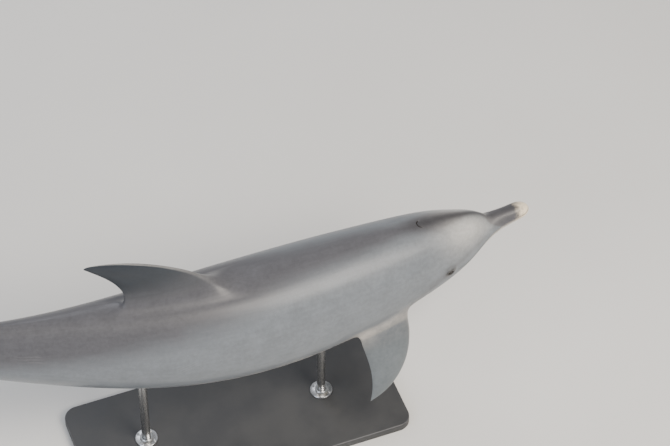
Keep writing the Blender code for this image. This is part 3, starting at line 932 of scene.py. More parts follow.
def rake(tree, field, waver, hand, start, middle, lean, length):
    """Four parallel healed tooth marks at one place on the body."""
    spacing, slant = .008, .9
    cos, sin = math.cos(lean), math.sin(lean)
    # Factors of station, of metres round and of the waver, and what is added.
    sideways = (-LENGTH * sin, cos, .010, start * LENGTH * sin - middle * cos - spacing)
    lengthways = (LENGTH * cos, sin, 0.0, -start * LENGTH * cos - middle * sin)
    offsets = []
    for *factors, total in (sideways, [a + slant * b for a, b in zip(lengthways, sideways)]):
        for socket, factor in zip((field["station"], field["around"], waver), factors):
            total = add_node(tree, MATH, TIMES_PLUS, 0, _0=socket, _1=factor, _2=total)
        offsets.append(total)
    side_off, off = offsets
    share = 1.0
    for operation, value, second, low, high, bottom, top in (
            ("PINGPONG", side_off, spacing / 2, .0001, .0009, 1.0, 0.0),
            ("ABSOLUTE", off, 0.0, length * .45, length, 1.0, 0.0),
            ("ABSOLUTE", side_off, 0.0, .0125, .0145, 1.0, 0.0),
            ("MULTIPLY", field["across"], hand, .005, .010, 0.0, 1.0)):
        near = add_node(tree, MATH, {"operation": operation}, 0, _0=value, _1=second)
        near = add_node(tree, RANGE, SOFT, 0, _0=near, _1=low, _2=high, _3=bottom, _4=top)
        share = add_node(tree, MATH, TIMES, 0, _0=near, _1=share)
    return share


def skin_material(colours):
    """Dolphin skin: smooth, rubbery and wet, so it gives broad soft highlights."""
    made, tree, shader = new_material("Wet dolphin skin", IOR=1.38, Coat_Weight=.20,
                                      Coat_Roughness=.16, Coat_IOR=1.33)
    place = add_node(tree, "ShaderNodeTexCoord", None, "Object")
    field = {name: add_node(tree, "ShaderNodeAttribute", {"attribute_name": name}, "Fac")
             for name in FIELDS}
    # Clouds of pigment 60 mm and 12 mm across break up every edge.
    cloud = add_node(tree, NOISE, None, 0, Vector=place, Scale=17.0, Detail=3.0)
    fine = add_node(tree, NOISE, None, 0, Vector=place, Scale=85.0, Detail=4.0)
    wander = -.135
    for noise, share in ((cloud, .20), (fine, .07)):
        wander = add_node(tree, MATH, TIMES_PLUS, 0, _0=noise, _1=share, _2=wander)
    # Flow lines: faint streaks of wear, 10 mm apart, that run along the animal.
    course = add_node(tree, "ShaderNodeCombineXYZ", None, 0, X=field["station"],
                      Y=field["across"], Z=field["upward"])
    course = add_node(tree, "ShaderNodeMapping", None, 0, Vector=course,
                      Scale=(14.0, 100.0, 100.0))
    streaks = add_node(tree, NOISE, None, 0, Vector=course, Scale=1.0, Detail=3.0)
    # Creases 3 mm apart, almost too shallow to see, soften the gloss.
    creases = add_node(tree, NOISE, None, 0, Vector=place, Scale=330.0, Detail=3.0)

    # Dark back, pale belly, fins and beak tip, each with a ragged edge.
    for name, noise, share, low, high in (("cape", wander, 1.0, -.20, .17),
                                          ("pale", wander, 1.0, -.16, .20),
                                          ("fin", wander, .9, .02, .95),
                                          ("tip", fine, .6, .05, .80)):
        ragged = add_node(tree, MATH, TIMES_PLUS, 0, _0=noise, _1=share, _2=field[name])
        field[name] = add_node(tree, RANGE, SOFT, 0, _0=ragged, _1=low, _2=high)
    # Painted shade along the mouth line and the blowhole's slit, and worn pale edges of the fins.
    for name, low, high in (("mouth", .0007, .0030), ("edge", .004, .05)):
        field[name] = add_node(tree, RANGE, SOFT, 0, _0=field[name], _1=low, _2=high, _3=1.0,
                               _4=0.0)
    field["span"] = add_node(tree, RANGE, SOFT, 0, _0=field["span"], _1=.2)
    # Freckles, 6 to 12 mm, in patches on the pale belly of a grown animal.
    spots = add_node(tree, "ShaderNodeTexVoronoi", {"feature": "F1"}, 0, Vector=place,
                     Scale=42.0, Randomness=1.0)
    freckle = add_node(tree, RANGE, SOFT, 0, _0=spots, _1=.08, _2=.26, _3=1.0, _4=0.0)
    patchy = add_node(tree, RANGE, SOFT, 0, _0=cloud, _1=.44, _2=.62)
    body = add_node(tree, MATH, {"operation": "SUBTRACT"}, 0, _0=1.0, _1=field["fin"])
    for part in (patchy, field["pale"], body):
        freckle = add_node(tree, MATH, TIMES, 0, _0=freckle, _1=part)
    # Navel, genital slit and vent: hair-fine folds on the belly's midline, darkened with painted
    # shade.
    shaded_slits = 0.0
    for start, end in BELLY_FOLDS:
        begun = add_node(tree, RANGE, SOFT, 0, _0=field["station"], _1=start - .002,
                         _2=start + .002)
        going = add_node(tree, RANGE, SOFT, 0, _0=field["station"], _1=end - .002,
                         _2=end + .002, _3=1.0, _4=0.0)
        shaded_slits = add_node(tree, MATH, TIMES_PLUS, 0, _0=begun, _1=going, _2=shaded_slits)
    midline = add_node(tree, RANGE, SOFT, 0, _0=field["keel"], _1=.0007, _2=.0024, _3=1.0,
                       _4=0.0)
    shaded_slits = add_node(tree, MATH, TIMES, 0, _0=shaded_slits, _1=midline)
    # Healed rakes left by other dolphins' teeth.
    scars = 0.0
    for mark in RAKES:
        scars = add_node(tree, MATH, PLUS, 0, _0=scars, _1=rake(tree, field, cloud, *mark))
    faint = add_node(tree, RANGE, SOFT, 0, _0=cloud, _1=.38, _2=.60)
    healed = add_node(tree, MATH, TIMES, 0, _0=scars, _1=faint)

    # Each coat of pigment or painted shade: where it lies, how strong it is, its colour.
    fins = colours.fin
    for where, strength, over in ((field["span"], 1.0, colours.fin_tip),
                                  (field["flipper"], .80, colours.flipper),
                                  (field["edge"], .30, colours.melon)):
        where = add_node(tree, MATH, TIMES, 0, _0=where, _1=strength)
        fins = add_node(tree, MIX, PAINT, 2, _0=where, _6=fins, _7=over)
    colour = colours.flank
    for where, strength, over in (
            (field["cape"], 1.0, colours.cape), (field["pale"], 1.0, colours.belly),
            (field["melon"], .80, colours.melon), (field["crest"], .88, colours.crest),
            (field["stripe"], .50, colours.cape), (field["fin"], 1.0, fins),
            (field["tip"], 1.0, colours.tip), (field["ring"], .75, colours.rim),
            # The mouth line with the blowhole slit, and the belly slits, take painted shade in the
            # rim colour.
            (field["mouth"], .80, colours.rim), (freckle, .34, colours.flank),
            (shaded_slits, .70, colours.rim), (healed, .14, colours.melon)):
        where = add_node(tree, MATH, TIMES, 0, _0=where, _1=strength)
        colour = add_node(tree, MIX, PAINT, 2, _0=where, _6=colour, _7=over)
    mottle = 0.0
    for grain, high, dark, light in ((fine, .72, .93, 1.05), (cloud, .70, -.05, .05),
                                     (streaks, .70, -.035, .035), (creases, .70, -.030, .030)):
        part = add_node(tree, RANGE, SOFT, 0, _0=grain, _1=.30, _2=high, _3=dark, _4=light)
        mottle = add_node(tree, MATH, PLUS, 0, _0=part, _1=mottle)
    colour = add_node(tree, MIX, {**PAINT, "blend_type": "MULTIPLY"}, 2, _0=1.0, _6=colour,
                      _7=mottle)
    gloss = add_node(tree, RANGE, SOFT, 0, _0=fine, _1=.25, _2=.75, _3=.33, _4=.45)
    height = 0.0
    for part, metres in ((creases, .00010), (shaded_slits, -.0018), (healed, -.0003), (cloud, .0008),
                         (streaks, .00030)):
        height = add_node(tree, MATH, TIMES_PLUS, 0, _0=part, _1=metres, _2=height)
    bump = add_node(tree, "ShaderNodeBump", None, 0, Strength=.6, Distance=1.0, Height=height)
    tree.links.new(colour, shader.inputs["Base Color"])
    tree.links.new(gloss, shader.inputs["Roughness"])
    tree.links.new(bump, shader.inputs["Normal"])
    return made


# ---------------------------------------------------------------------------
# Pieces
# ---------------------------------------------------------------------------

def mesh_object(name, points, faces, finish):
    """A smooth piece; corners that a face names twice running are taken once."""
    mesh = bpy.data.meshes.new(name)
    faces = [tuple(v for k, v in enumerate(f) if v != f[k - 1]) for f in faces]
    mesh.from_pydata([tuple(p) for p in points], [], faces)
    mesh.validate()
    mesh.shade_smooth()
    mesh.materials.append(finish)
    made = bpy.data.objects.new(name, mesh)
    bpy.context.scene.collection.objects.link(made)
    return made


FLESH = ("beak_upper", "beak_lower", "head", "neck", "trunk_front", "trunk_middle",
         "trunk_rear", "tail_stock_front", "tail_stock_rear", "dorsal_fin",
         "flipper_left", "flipper_right", "fluke_left", "fluke_right")


def set_field(piece, name, values):
    """Keep a number for each point, for the material to read."""
    layer = piece.data.attributes.new(name, "FLOAT", "POINT")
    layer.data.foreach_set("value", np.ascontiguousarray(values, np.float32))


def make_skin(colours):
    """The one skin over the body, evened out, with its fine form and its pigment."""
    points, notes, faces = build_skin().arrays()
    used = np.unique(faces)
    renumber = np.zeros(len(points), int)
    renumber[used] = np.arange(len(used))
    points, notes, faces = points[used], notes[used], renumber[faces]
    points = relax(points, faces, notes[:, 5], RELAX_ROUNDS)
    placed = SPINE.place(points)
    lifted = placed + corner_normals(placed, faces) * fine_form(notes)[:, None]
    piece = mesh_object("dolphin_skin", lifted, faces.tolist(), skin_material(colours))
    for name, values in marks(points, notes).items():
        set_field(piece, name, values)
    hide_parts(*FLESH)
    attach(piece, "root")


def rotated_profile(profile, steps):
    """Points and faces of a turned solid.

    The profile is a loop of (radius, height), or runs from pole to pole on the axis.
    """
    angle = np.arange(steps) * 2 * math.pi / steps
    points, faces, rings = [], [], []
    for radius, height in profile:
        count = steps if radius > 0 else 1
        rings.append(list(range(len(points), len(points) + count)))
        points += [(radius * math.cos(a), radius * math.sin(a), height) for a in angle[:count]]
    for low, high in zip(rings, rings[1:] + rings[:1]):
        for k in range(steps if len(low) + len(high) > 2 else 0):
            j = (k + 1) % steps
            corners = [ring[n % len(ring)]
                       for ring, n in ((low, k), (low, j), (high, j), (high, k))]
            faces.append(tuple(v for n, v in enumerate(corners) if v != corners[n - 1]))
    return np.array(points, float), faces


def eye_material(colours):
    """A wet eyeball: dark brown iris, black pupil, a clear hard highlight."""
    made, tree, shader = new_material("Wet eyeball", Roughness=.08, IOR=1.34, Coat_Weight=.5,
                                      Coat_Roughness=.02)
    gaze, pupil = (add_node(tree, "ShaderNodeAttribute", {"attribute_name": name}, "Fac")
                   for name in ("gaze", "pupil"))
    place = add_node(tree, "ShaderNodeTexCoord", None, "Object")
    streak = add_node(tree, NOISE, None, 0, Vector=place, Scale=900.0, Detail=3.0)
    colour = linear("#140c08")
    # Streaks of the iris, 1 mm apart, its dark rim, the white beyond it, the pupil.
    for value, low, high, bottom, top, over in (
            (streak, .35, .70, 0.0, 1.0, colours.iris),
            (gaze, .50, .62, 0.0, 1.0, linear("#100c0a")),
            (gaze, .74, .84, 0.0, 1.0, linear("#4a4440")),
            (pupil, .90, 1.04, 1.0, 0.0, linear("#030303"))):
        share = add_node(tree, RANGE, SOFT, 0, _0=value, _1=low, _2=high, _3=bottom, _4=top)
        colour = add_node(tree, MIX, PAINT, 2, _0=share, _6=colour, _7=over)
    tree.links.new(colour, shader.inputs["Base Color"])
    return made


def make_eyes(colours):
    """Both balls, each a little steeper over its pupil, in the pockets of the skin."""
    finish = eye_material(colours)
    out, rear, high = eye_axes()
    # The cornea swells 0.6 mm over the pupil, an oval of 10 by 5.6 mm.
    ball, cornea, steps = EYE_RADIUS - .0002, .0006, 48
    profile = [(0, ball + cornea)]
    for a in np.linspace(0, math.pi, steps + 1)[1:-1]:
        swell = cornea * math.exp(-(a / .42) ** 2)
        profile.append((math.sin(a) * (ball + swell * .3), math.cos(a) * (ball + swell)))
    profile.append((0, -ball))
    local, faces = rotated_profile(profile, 64)
    gaze = np.arctan2(np.hypot(local[:, 0], local[:, 1]), local[:, 2])
    pupil = np.where(local[:, 2] > 0, np.hypot(local[:, 0] / .0050, local[:, 1] / .0028), 9)
    for word, hand in (("left", 1), ("right", -1)):
        placed = SPINE.place((eye_centre() + local[:, :1] * rear + local[:, 1:2] * high
                              + local[:, 2:] * out) * np.array([1, hand, 1]))
        piece = mesh_object(f"eyeball_{word}", placed, faces, finish)
        fix_normals(piece)
        set_field(piece, "gaze", gaze)
        set_field(piece, "pupil", pupil)
        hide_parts(f"eye_{word}")
        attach(piece, "root")


def fix_normals(piece):
    """Turn every face outwards."""
    work = bmesh.new()
    work.from_mesh(piece.data)
    bmesh.ops.recalc_face_normals(work, faces=work.faces)
    work.to_mesh(piece.data)
    work.free()


def grey_paint(stand):
    """Spray-lacquered board: matt dark grey, faint orange peel 2 mm across, rubbed edges."""
    made, tree, shader = new_material("Matt sprayed lacquer")
    place = add_node(tree, "ShaderNodeTexCoord", None, "Object")
    peel = add_node(tree, NOISE, None, 0, Vector=place, Scale=500.0, Detail=1.0)
    dust = add_node(tree, NOISE, None, 0, Vector=place, Scale=9.0, Detail=5.0)
    rub = add_node(tree, "ShaderNodeAttribute", {"attribute_name": "rub"}, "Fac")
    worn = add_node(tree, MATH, TIMES_PLUS, 0, _0=dust, _1=.8, _2=rub)
    colour = stand.paint
    for value, low, high, most, over in ((dust, .35, .70, .22, linear("#5c5c5a")),
                                         (worn, 1.02, 1.35, .5, linear("#77767a"))):
        share = add_node(tree, RANGE, SOFT, 0, _0=value, _1=low, _2=high, _4=most)
        colour = add_node(tree, MIX, PAINT, 2, _0=share, _6=colour, _7=over)
    matt = add_node(tree, RANGE, SOFT, 0, _0=dust, _1=.3, _2=.7, _3=.46, _4=.58)
    bump = add_node(tree, "ShaderNodeBump", None, 0, Strength=.35, Distance=.0003, Height=peel)
    tree.links.new(colour, shader.inputs["Base Color"])
    tree.links.new(matt, shader.inputs["Roughness"])
    tree.links.new(bump, shader.inputs["Normal"])
    return made


def steel(name, rough, grain):
    """Bare steel; grain is how many marks of the tool lie in a metre along X, Y and Z."""
    made, tree, shader = new_material(name, Metallic=1.0)
    place = add_node(tree, "ShaderNodeTexCoord", None, "Object")
    lie = add_node(tree, "ShaderNodeMapping", None, 0, Vector=place, Scale=grain)
    lines = add_node(tree, NOISE, None, 0, Vector=lie, Scale=1.0, Detail=2.0)
    colour = add_node(tree, MIX, PAINT, 2, _0=lines, _6=linear("#bcbdbe"), _7=linear("#c9caca"))
    gloss = add_node(tree, RANGE, SOFT, 0, _0=lines, _1=.3, _2=.7, _3=rough - .015,
                     _4=rough + .015)
    bump = add_node(tree, "ShaderNodeBump", None, 0, Strength=.15, Distance=.0001, Height=lines)
    tree.links.new(colour, shader.inputs["Base Color"])
    tree.links.new(gloss, shader.inputs["Roughness"])
    tree.links.new(bump, shader.inputs["Normal"])
    return made


def black_rubber():
    """Moulded rubber: near black, dull, with a soft sheen on its crown."""
    made, tree, shader = new_material("Moulded rubber", Roughness=.62, IOR=1.52)
    place = add_node(tree, "ShaderNodeTexCoord", None, "Object")
    grain = add_node(tree, NOISE, None, 0, Vector=place, Scale=700.0, Detail=2.0)
    colour = add_node(tree, MIX, PAINT, 2, _0=grain, _6=linear("#1b1b1c"), _7=linear("#2a2a2b"))
    bump = add_node(tree, "ShaderNodeBump", None, 0, Strength=.3, Distance=.0002, Height=grain)
    tree.links.new(colour, shader.inputs["Base Color"])
    tree.links.new(bump, shader.inputs["Normal"])
    return made


def geometry_tree(name, inputs):
    """A Geometry Nodes tree with named inputs; returns it, their sockets and its last node."""
    tree = bpy.data.node_groups.new(name, "GeometryNodeTree")
    tree.interface.new_socket("Geometry", in_out="INPUT", socket_type="NodeSocketGeometry")
    for label, kind in inputs:
        tree.interface.new_socket(label, in_out="INPUT", socket_type="NodeSocket" + kind)
    tree.interface.new_socket("Geometry", in_out="OUTPUT", socket_type="NodeSocketGeometry")
    return tree, add_node(tree, "NodeGroupInput").outputs, add_node(tree, "NodeGroupOutput")


def finish_tree(tree, geometry, finish, end):
    """Realize the instances, give them their material and hand them out."""
    real = add_node(tree, "GeometryNodeRealizeInstances", None, 0, Geometry=geometry)
    rounded = add_node(tree, "GeometryNodeSetShadeSmooth", None, 0, Geometry=real)
    painted = add_node(tree, "GeometryNodeSetMaterial", None, 0, Geometry=rounded,
                       Material=finish)
    tree.links.new(painted, end.inputs[0])
    return tree


def screw_ring_tree():
    """Screws on two circles, one for each collar."""
    tree, given, end = geometry_tree("Screws on two circles", (
        ("Count", "Int"), ("Circle radius", "Float"), ("First centre", "Vector"),
        ("Second centre", "Vector"), ("Finish", "Material")))
    circle = add_node(tree, "GeometryNodeMeshCircle", None, 0, Vertices=given["Count"],
                      Radius=given["Circle radius"])
    both = add_node(tree, "GeometryNodeJoinGeometry")
    for centre in ("First centre", "Second centre"):
        moved = add_node(tree, "GeometryNodeTransform", None, 0, Geometry=circle,
                         Translation=given[centre], Rotation=(0.0, 0.0, math.pi / 4))
        tree.links.new(moved, both.inputs[0])
    turn = add_node(tree, "FunctionNodeRandomValue", {"data_type": "FLOAT_VECTOR"}, 0,
                    Seed=7, _0=(0.0, 0.0, 0.0), _1=(0.0, 0.0, math.pi / 3))
    spread = add_node(tree, "GeometryNodeInstanceOnPoints", None, 0, Points=both.outputs[0],
                      Instance=given["Geometry"], Rotation=turn)
    return finish_tree(tree, spread, given["Finish"], end)


def bead_tree():
    """A round bead that follows a closed line."""
    tree, given, end = geometry_tree("Bead on a line",
                                     (("Radius", "Float"), ("Finish", "Material")))
    line = add_node(tree, "GeometryNodeMeshToCurve", None, 0, Mesh=given["Geometry"])
    ring = add_node(tree, "GeometryNodeCurvePrimitiveCircle", None, 0, Resolution=14,
                    Radius=given["Radius"])
    bead = add_node(tree, "GeometryNodeCurveToMesh", None, 0, Curve=line, Profile_Curve=ring)
    return finish_tree(tree, bead, given["Finish"], end)


def grow(name, mesh, tree, values):
    """Run a Geometry Nodes tree on a mesh and keep the result as a plain piece."""
    carrier = bpy.data.objects.new("carrier", mesh)
    bpy.context.scene.collection.objects.link(carrier)
    step = carrier.modifiers.new("Nodes", "NODES")
    step.node_group = tree
    for socket in tree.interface.items_tree:
        if socket.in_out == "INPUT" and socket.name in values:
            step[socket.identifier] = values[socket.name]
    graph = bpy.context.evaluated_depsgraph_get()
    result = bpy.data.meshes.new_from_object(carrier.evaluated_get(graph))
    if not len(result.polygons):
        raise RuntimeError(f"{name} came out empty")
    bpy.data.objects.remove(carrier, do_unlink=True)
    bpy.data.node_groups.remove(tree)
    piece = bpy.data.objects.new(name, result)
    bpy.context.scene.collection.objects.link(piece)
    fix_normals(piece)
    return piece


def tube_faces(rows, count):
    """Faces of rows of points in closed rings, with both ends capped."""
    faces = []
    for r in range(rows - 1):
        for k in range(count):
            j = (k + 1) % count
            faces.append((r * count + k, r * count + j, (r + 1) * count + j, (r + 1) * count + k))
    faces.append(tuple(range(count))[::-1])
    faces.append(tuple(range((rows - 1) * count, rows * count)))
    return faces


def turned_piece(name, profile, centre, finish):
    """A lathe-turned solid or ring on a vertical axis."""
    points, faces = rotated_profile(profile, 72)
    piece = mesh_object(name, points + np.array([*centre, 0]), faces, finish)
    fix_normals(piece)
    piece.data.set_sharp_from_angle(angle=math.radians(35))
    return piece


def settle(piece, slot, *nodes):
    """Give a stand piece its body and hide the nodes that it replaces; slot is not used."""
    if nodes:
        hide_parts(*nodes)
    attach(piece, "root")


def make_board(stand):
    """Flat board with rounded corners and edges; `rub` tells where its edges are worn."""
    low, high = [Vector(c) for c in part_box("stand_base")]
    half_x, half_y = (high.x - low.x) / 2, (high.y - low.y) / 2
    edge, corner = stand.edge, stand.corner
    quarter = np.radians(np.linspace(0, 90, 7))
    rows = [(edge * (1 - math.sin(t)), low.z + edge * (1 - math.cos(t))) for t in quarter]
    rows += [(edge * (1 - math.cos(t)), high.z - edge * (1 - math.sin(t))) for t in quarter]
    outline = np.array([(sx * (half_x - corner), sy * (half_y - corner), math.cos(a), math.sin(a))
                        for k, (sx, sy) in enumerate(((1, 1), (-1, 1), (-1, -1), (1, -1)))
                        for a in np.radians(np.linspace(0, 90, 19) + 90 * k)])
    points, rub = [], []
    count = len(outline)
    for inset, z in rows:
        ring = outline[:, :2] + outline[:, 2:] * (corner - inset)
        points.append(np.column_stack([ring, np.full(count, z)]))
        rub += [1 - abs(inset / edge - .29) / .71] * count
    faces = tube_faces(len(rows), count)
    piece = mesh_object("stand_board", np.vstack(points), faces, grey_paint(stand))
    piece.data.set_sharp_from_angle(angle=math.radians(40))
    set_field(piece, "rub", rub)
    settle(piece, "stand_paint", "stand_base")


def make_rods_and_collars(stand):
    """Both rods with their collars and gaskets, and the screws of the collars."""
    # Brushed along the rod: a narrow streak of light runs up it.
    rod_steel = steel("Brushed stainless steel", .26, (1600.0, 1600.0, 14.0))
    # Turned on a lathe: fine rings spread the light sideways.
    collar_steel = steel("Turned stainless steel", .28, (500.0, 500.0, 1600.0))
    # Zinc from a bath: an even grain and a duller shine.
    screw_steel = steel("Zinc-plated steel", .36, (800.0, 800.0, 800.0))
    skin = bpy.data.objects["dolphin_skin"]
    centres, rubber = [], black_rubber()
    for word in ("front", "rear"):
        low, high = [Vector(c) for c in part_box(f"stand_rod_{word}")]
        radius = (high.x - low.x) / 2
        centre = ((low.x + high.x) / 2, (low.y + high.y) / 2)
        profile = [(0, low.z), (radius - .001, low.z), (radius, low.z + .001), (radius, high.z),
                   (0, high.z)]
        settle(turned_piece(f"rod_{word}", profile, centre, rod_steel), "stand_steel",
               f"stand_rod_{word}")
        base, top = [Vector(c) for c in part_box(f"stand_collar_{word}")]
        bore, wide, hub = radius + .0003, (top.x - base.x) / 2, radius + stand.hub
        plate = base.z + stand.flange
        profile = [(bore, base.z), (wide - .0008, base.z), (wide, base.z + .0008),
                   (wide, plate - .0015), (wide - .0015, plate), (hub + .0020, plate),
                   (hub + .0006, plate + .0006), (hub, plate + .0020), (hub, top.z - .0018),
                   (hub - .0018, top.z), (radius + .0012, top.z), (bore, top.z - .0009)]
        settle(turned_piece(f"collar_{word}", profile, centre, collar_steel), "stand_steel",
               f"stand_collar_{word}")
        centres.append((*centre, plate))
        settle(gasket(f"gasket_{word}", skin, (*centre, low.z), radius + stand.bead * .7,
                      stand.bead, rubber), "stand_paint")
    screws = grow("collar_screws", cap_screw(stand.screw), screw_ring_tree(), {
        "Count": stand.screws, "Circle radius": stand.circle, "First centre": centres[0],
        "Second centre": centres[1], "Finish": screw_steel})
    screws.data.set_sharp_from_angle(angle=math.radians(35))
    settle(screws, "stand_steel")


def gasket(name, skin, foot, ring, bead, finish):
    """A rubber bead round the rod, laid along the belly just where the rod enters it."""
    line, steps = [], 48
    for a in np.arange(steps) * 2 * math.pi / steps:
        start = Vector(foot) + Vector((ring * math.cos(a), ring * math.sin(a), 0))
        hit, place, _, _ = skin.ray_cast(start, Vector((0, 0, 1)))
        if not hit:
            raise RuntimeError(f"{name} finds no belly over the rod")
        line.append(place)
    mesh = bpy.data.meshes.new(name)
    mesh.from_pydata(line, [(k, (k + 1) % steps) for k in range(steps)], [])
    return grow(name, mesh, bead_tree(), {"Radius": bead, "Finish": finish})


def cap_screw(radius):
    """Low cap screw head with a six-sided socket, standing on z = 0."""
    height, socket, depth, steps = radius * .62, radius * .5, radius * .40, 24
    angle = np.arange(steps) * 2 * math.pi / steps
    hexagon = math.cos(math.pi / 6) / np.cos((angle + math.pi / 6) % (math.pi / 3) - math.pi / 6)
    rows = [(np.full(steps, radius), -.0004), (np.full(steps, radius), height * .82),
            (np.full(steps, radius * .9), height), (socket * 1.12 * hexagon, height),
            (socket * hexagon, height - radius * .06), (socket * hexagon, height - depth)]
    points = [(r * math.cos(a), r * math.sin(a), z)
              for radii, z in rows for r, a in zip(radii, angle)]
    mesh = bpy.data.meshes.new("cap_screw")
    mesh.from_pydata(points, [], tube_faces(len(rows), steps))
    return mesh


# Each lamp: name, place, size of its square, watts, colour.
LAMPS = (("key", (2.2, -3.4, 5.2), 3.2, 500, "#fff6ea"),
         ("fill", (-4.5, -2.5, 3.0), 3.0, 90, "#e8f0ff"),
         ("rim", (-1.0, 4.5, 3.6), 3.0, 90, "#f2f6ff"))
FLOOR_HALF = 60.0
FLOOR_GLOW = .78         # how much of the even light the floor sends back by itself
SKY = "#eceef2"


def pale_floor(stage):
    """Trowelled plaster: matt and pale, with faint clouds 0.7 m across; far off it glows with
    painted light.
    """
    made, tree, shader = new_material("Pale plaster floor", Roughness=.85,
                                      Emission_Color=linear(SKY))
    place = add_node(tree, "ShaderNodeTexCoord", None, "Object")
    mist = add_node(tree, NOISE, None, 0, Vector=place, Scale=1.4, Detail=4.0)
    colour = add_node(tree, MIX, PAINT, 2, _0=mist, _6=linear("#e2e1de"), _7=linear("#ebeae7"))
    tree.links.new(colour, shader.inputs["Base Color"])
    # Far off, where the lamps no longer reach, the floor glows with painted light and so takes on
    # the tone of the backdrop.
    far = add_node(tree, "ShaderNodeVectorMath", {"operation": "LENGTH"}, 1, _0=place)
    glow = add_node(tree, RANGE, SOFT, 0, _0=far, _1=3.0, _2=9.0,
                    _4=stage.backdrop - FLOOR_GLOW * stage.ambient)
    tree.links.new(glow, shader.inputs["Emission Strength"])
    return made


def make_stage(stage):
    """Floor, three soft lamps, even light and the camera."""
    scene, wide = bpy.context.scene, FLOOR_HALF
    floor = mesh_object("floor", [(-wide, -wide, 0), (wide, -wide, 0), (wide, wide, 0),
                                  (-wide, wide, 0)], [(0, 1, 2, 3)], pale_floor(stage))
    for name, place, size, power, colour in LAMPS:
        lamp = bpy.data.lights.new(name, "AREA")
        lamp.size, lamp.energy, lamp.color = size, power, linear(colour)[:3]
        light = bpy.data.objects.new(name, lamp)
        light.location = place
        aim = Vector((0, 0, .5)) - light.location
        light.rotation_euler = aim.to_track_quat("-Z", "Y").to_euler()
        scene.collection.objects.link(light)
    world = bpy.data.worlds.new("Studio")
    world.use_nodes = True
    sky = world.node_tree.nodes["Background"]
    sky.inputs[0].default_value = linear(SKY)
    seen = add_node(world.node_tree, "ShaderNodeLightPath", None, "Is Camera Ray")
    light = add_node(world.node_tree, RANGE, SOFT, 0, _0=seen, _3=stage.ambient,
                     _4=stage.backdrop)
    world.node_tree.links.new(light, sky.inputs[1])
    scene.world = world
    lens = bpy.data.cameras.new("camera")
    lens.lens, lens.sensor_width, lens.clip_end = stage.lens, 36, 200
    camera = bpy.data.objects.new("camera", lens)
    azimuth, elevation = stage.azimuth, stage.elevation
    away = Vector((math.sin(azimuth) * math.cos(elevation),
                   -math.cos(azimuth) * math.cos(elevation), math.sin(elevation)))
    camera.location = Vector(stage.aim) + away * stage.distance
    camera.rotation_euler = away.to_track_quat("Z", "Y").to_euler()
    scene.collection.objects.link(camera)
    scene.camera = camera


# ---------------------------------------------------------------------------
# Add-on
# ---------------------------------------------------------------------------

def colour_property(label, description, hex_colour):
    """A colour that a user may change."""
    return FloatVectorProperty(name=label, description=description, subtype="COLOR", size=4,
                               min=0, max=1, default=linear(hex_colour))


def length_property(label, description, default):
    """A length that a user may change."""
    return FloatProperty(name=label, description=description, default=default, unit="LENGTH",
                         precision=4)


class DolphinColours(PropertyGroup):
    """Colours of the skin and the eyes"""
    cape: colour_property("Cape", "Dark back from the forehead to the tail", "#59595d")
    flank: colour_property("Flank", "Grey sides", "#767b80")
    belly: colour_property("Belly", "Pale underside", "#c3bcb2")
    melon: colour_property("Melon", "Lighter sides of the forehead", "#cac8c4")
    crest: colour_property("Crest", "Dark top of the beak and ridge of the head", "#403f41")
    tip: colour_property("Beak tip", "Cream end of the beak", "#efe0c6")
    # Rims: pigment of the eyelids, and painted shade in the mouth line, blowhole slit and belly
    # folds.
    rim: colour_property("Rims", "Eyelids, mouth line and belly folds", "#37332f")
    fin: colour_property("Fin root", "Fin and flukes near the body", "#34393f")
    fin_tip: colour_property("Fin tip", "Fin and flukes at their ends", "#262c34")
    flipper: colour_property("Flipper", "Flippers, which are paler than the fin", "#757c80")
    iris: colour_property("Iris", "Streaks in the dark iris", "#33200f")


class DolphinStand(PropertyGroup):
    """Sizes and lacquer of the display stand"""
    paint: colour_property("Board", "Lacquer of the board", "#3a3b3d")
    corner: length_property("Corner", "Radius of the board's corners", .045)
    edge: length_property("Edge", "Radius of the board's edges", .004)
    flange: length_property("Flange", "Thickness of each collar's plate", .006)
    hub: length_property("Hub", "Wall of each collar's hub round its rod", .0065)
    circle: length_property("Screw circle", "Radius of the circle the screws sit on", .0290)
    screw: length_property("Screw head", "Radius of a screw head", .0042)
    screws: IntProperty(name="Screws", description="Screws in each collar", default=4, min=3)
    bead: length_property("Gasket", "Radius of the rubber bead where a rod meets the belly", .0032)


class DolphinStage(PropertyGroup):
    """Camera and light"""
    azimuth: FloatProperty(name="Azimuth", description="Camera direction round the model",
                           default=math.radians(-20.7), unit="ROTATION")
    elevation: FloatProperty(name="Elevation", description="Camera height over the horizon",
                             default=math.radians(50.0), unit="ROTATION")
    distance: FloatProperty(name="Distance", description="Camera to its aim", default=9.0,
                            unit="LENGTH")
    lens: FloatProperty(name="Lens", description="Focal length", default=160.4, unit="CAMERA")
    aim: FloatVectorProperty(name="Aim", description="Point in the middle of the view",
                             default=(.335, 0, .849), subtype="TRANSLATION")
    backdrop: FloatProperty(name="Backdrop", description="Brightness of the room behind the model",
                            default=.84, min=0)
    ambient: FloatProperty(name="Ambient", description="Strength of the even light", default=.50,
                           min=0)


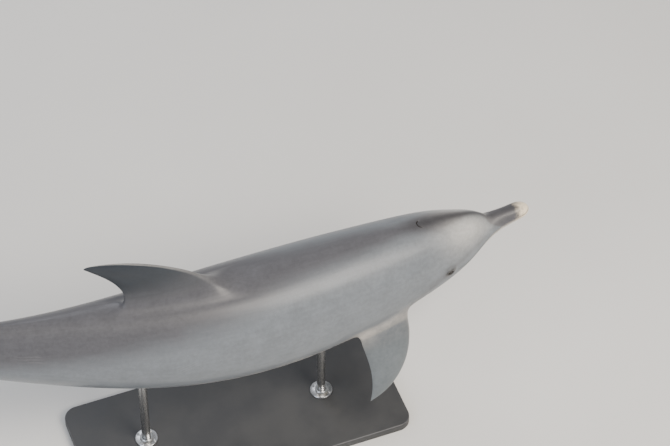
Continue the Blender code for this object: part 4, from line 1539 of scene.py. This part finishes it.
class DOLPHIN_OT_skin(Operator):
    """Model the one skin that covers the body, fins and flukes"""
    bl_idname = "dolphin.skin"
    bl_label = "Dolphin Skin"

    def execute(self, context):
        make_skin(context.scene.dolphin_colours)
        return {"FINISHED"}


class DOLPHIN_OT_eyes(Operator):
    """Model both eyeballs"""
    bl_idname = "dolphin.eyes"
    bl_label = "Dolphin Eyes"

    def execute(self, context):
        make_eyes(context.scene.dolphin_colours)
        return {"FINISHED"}


class DOLPHIN_OT_stand(Operator):
    """Model the board, rods, collars, screws and gaskets"""
    bl_idname = "dolphin.stand"
    bl_label = "Display Stand"

    def execute(self, context):
        make_board(context.scene.dolphin_stand)
        make_rods_and_collars(context.scene.dolphin_stand)
        return {"FINISHED"}


class DOLPHIN_OT_stage(Operator):
    """Set up the floor, the lights and the camera"""
    bl_idname = "dolphin.stage"
    bl_label = "Dolphin Stage"

    def execute(self, context):
        make_stage(context.scene.dolphin_stage)
        return {"FINISHED"}


OPERATORS = (DOLPHIN_OT_skin, DOLPHIN_OT_eyes, DOLPHIN_OT_stand, DOLPHIN_OT_stage)
GROUPS = {"dolphin_colours": DolphinColours, "dolphin_stand": DolphinStand,
          "dolphin_stage": DolphinStage}


class DOLPHIN_PT_panel(Panel):
    """Lists the sizes, the colours and the pieces"""
    bl_label = "Dolphin"
    bl_idname = "DOLPHIN_PT_panel"
    bl_space_type = "VIEW_3D"
    bl_region_type = "UI"
    bl_category = "Dolphin"

    def draw(self, context):
        for name, group in GROUPS.items():
            for value in group.__annotations__:
                self.layout.prop(getattr(context.scene, name), value)
        for operator in OPERATORS:
            self.layout.operator(operator.bl_idname)


def register():
    for item in (*GROUPS.values(), *OPERATORS, DOLPHIN_PT_panel):
        bpy.utils.register_class(item)
    for name, group in GROUPS.items():
        setattr(bpy.types.Scene, name, PointerProperty(type=group))


def unregister():
    for name in GROUPS:
        delattr(bpy.types.Scene, name)
    for item in reversed((*GROUPS.values(), *OPERATORS, DOLPHIN_PT_panel)):
        bpy.utils.unregister_class(item)


def main():
    register()
    bpy.ops.dolphin.skin()
    bpy.ops.dolphin.eyes()
    bpy.ops.dolphin.stand()
    bpy.ops.dolphin.stage()


if __name__ == "__main__":
    main()
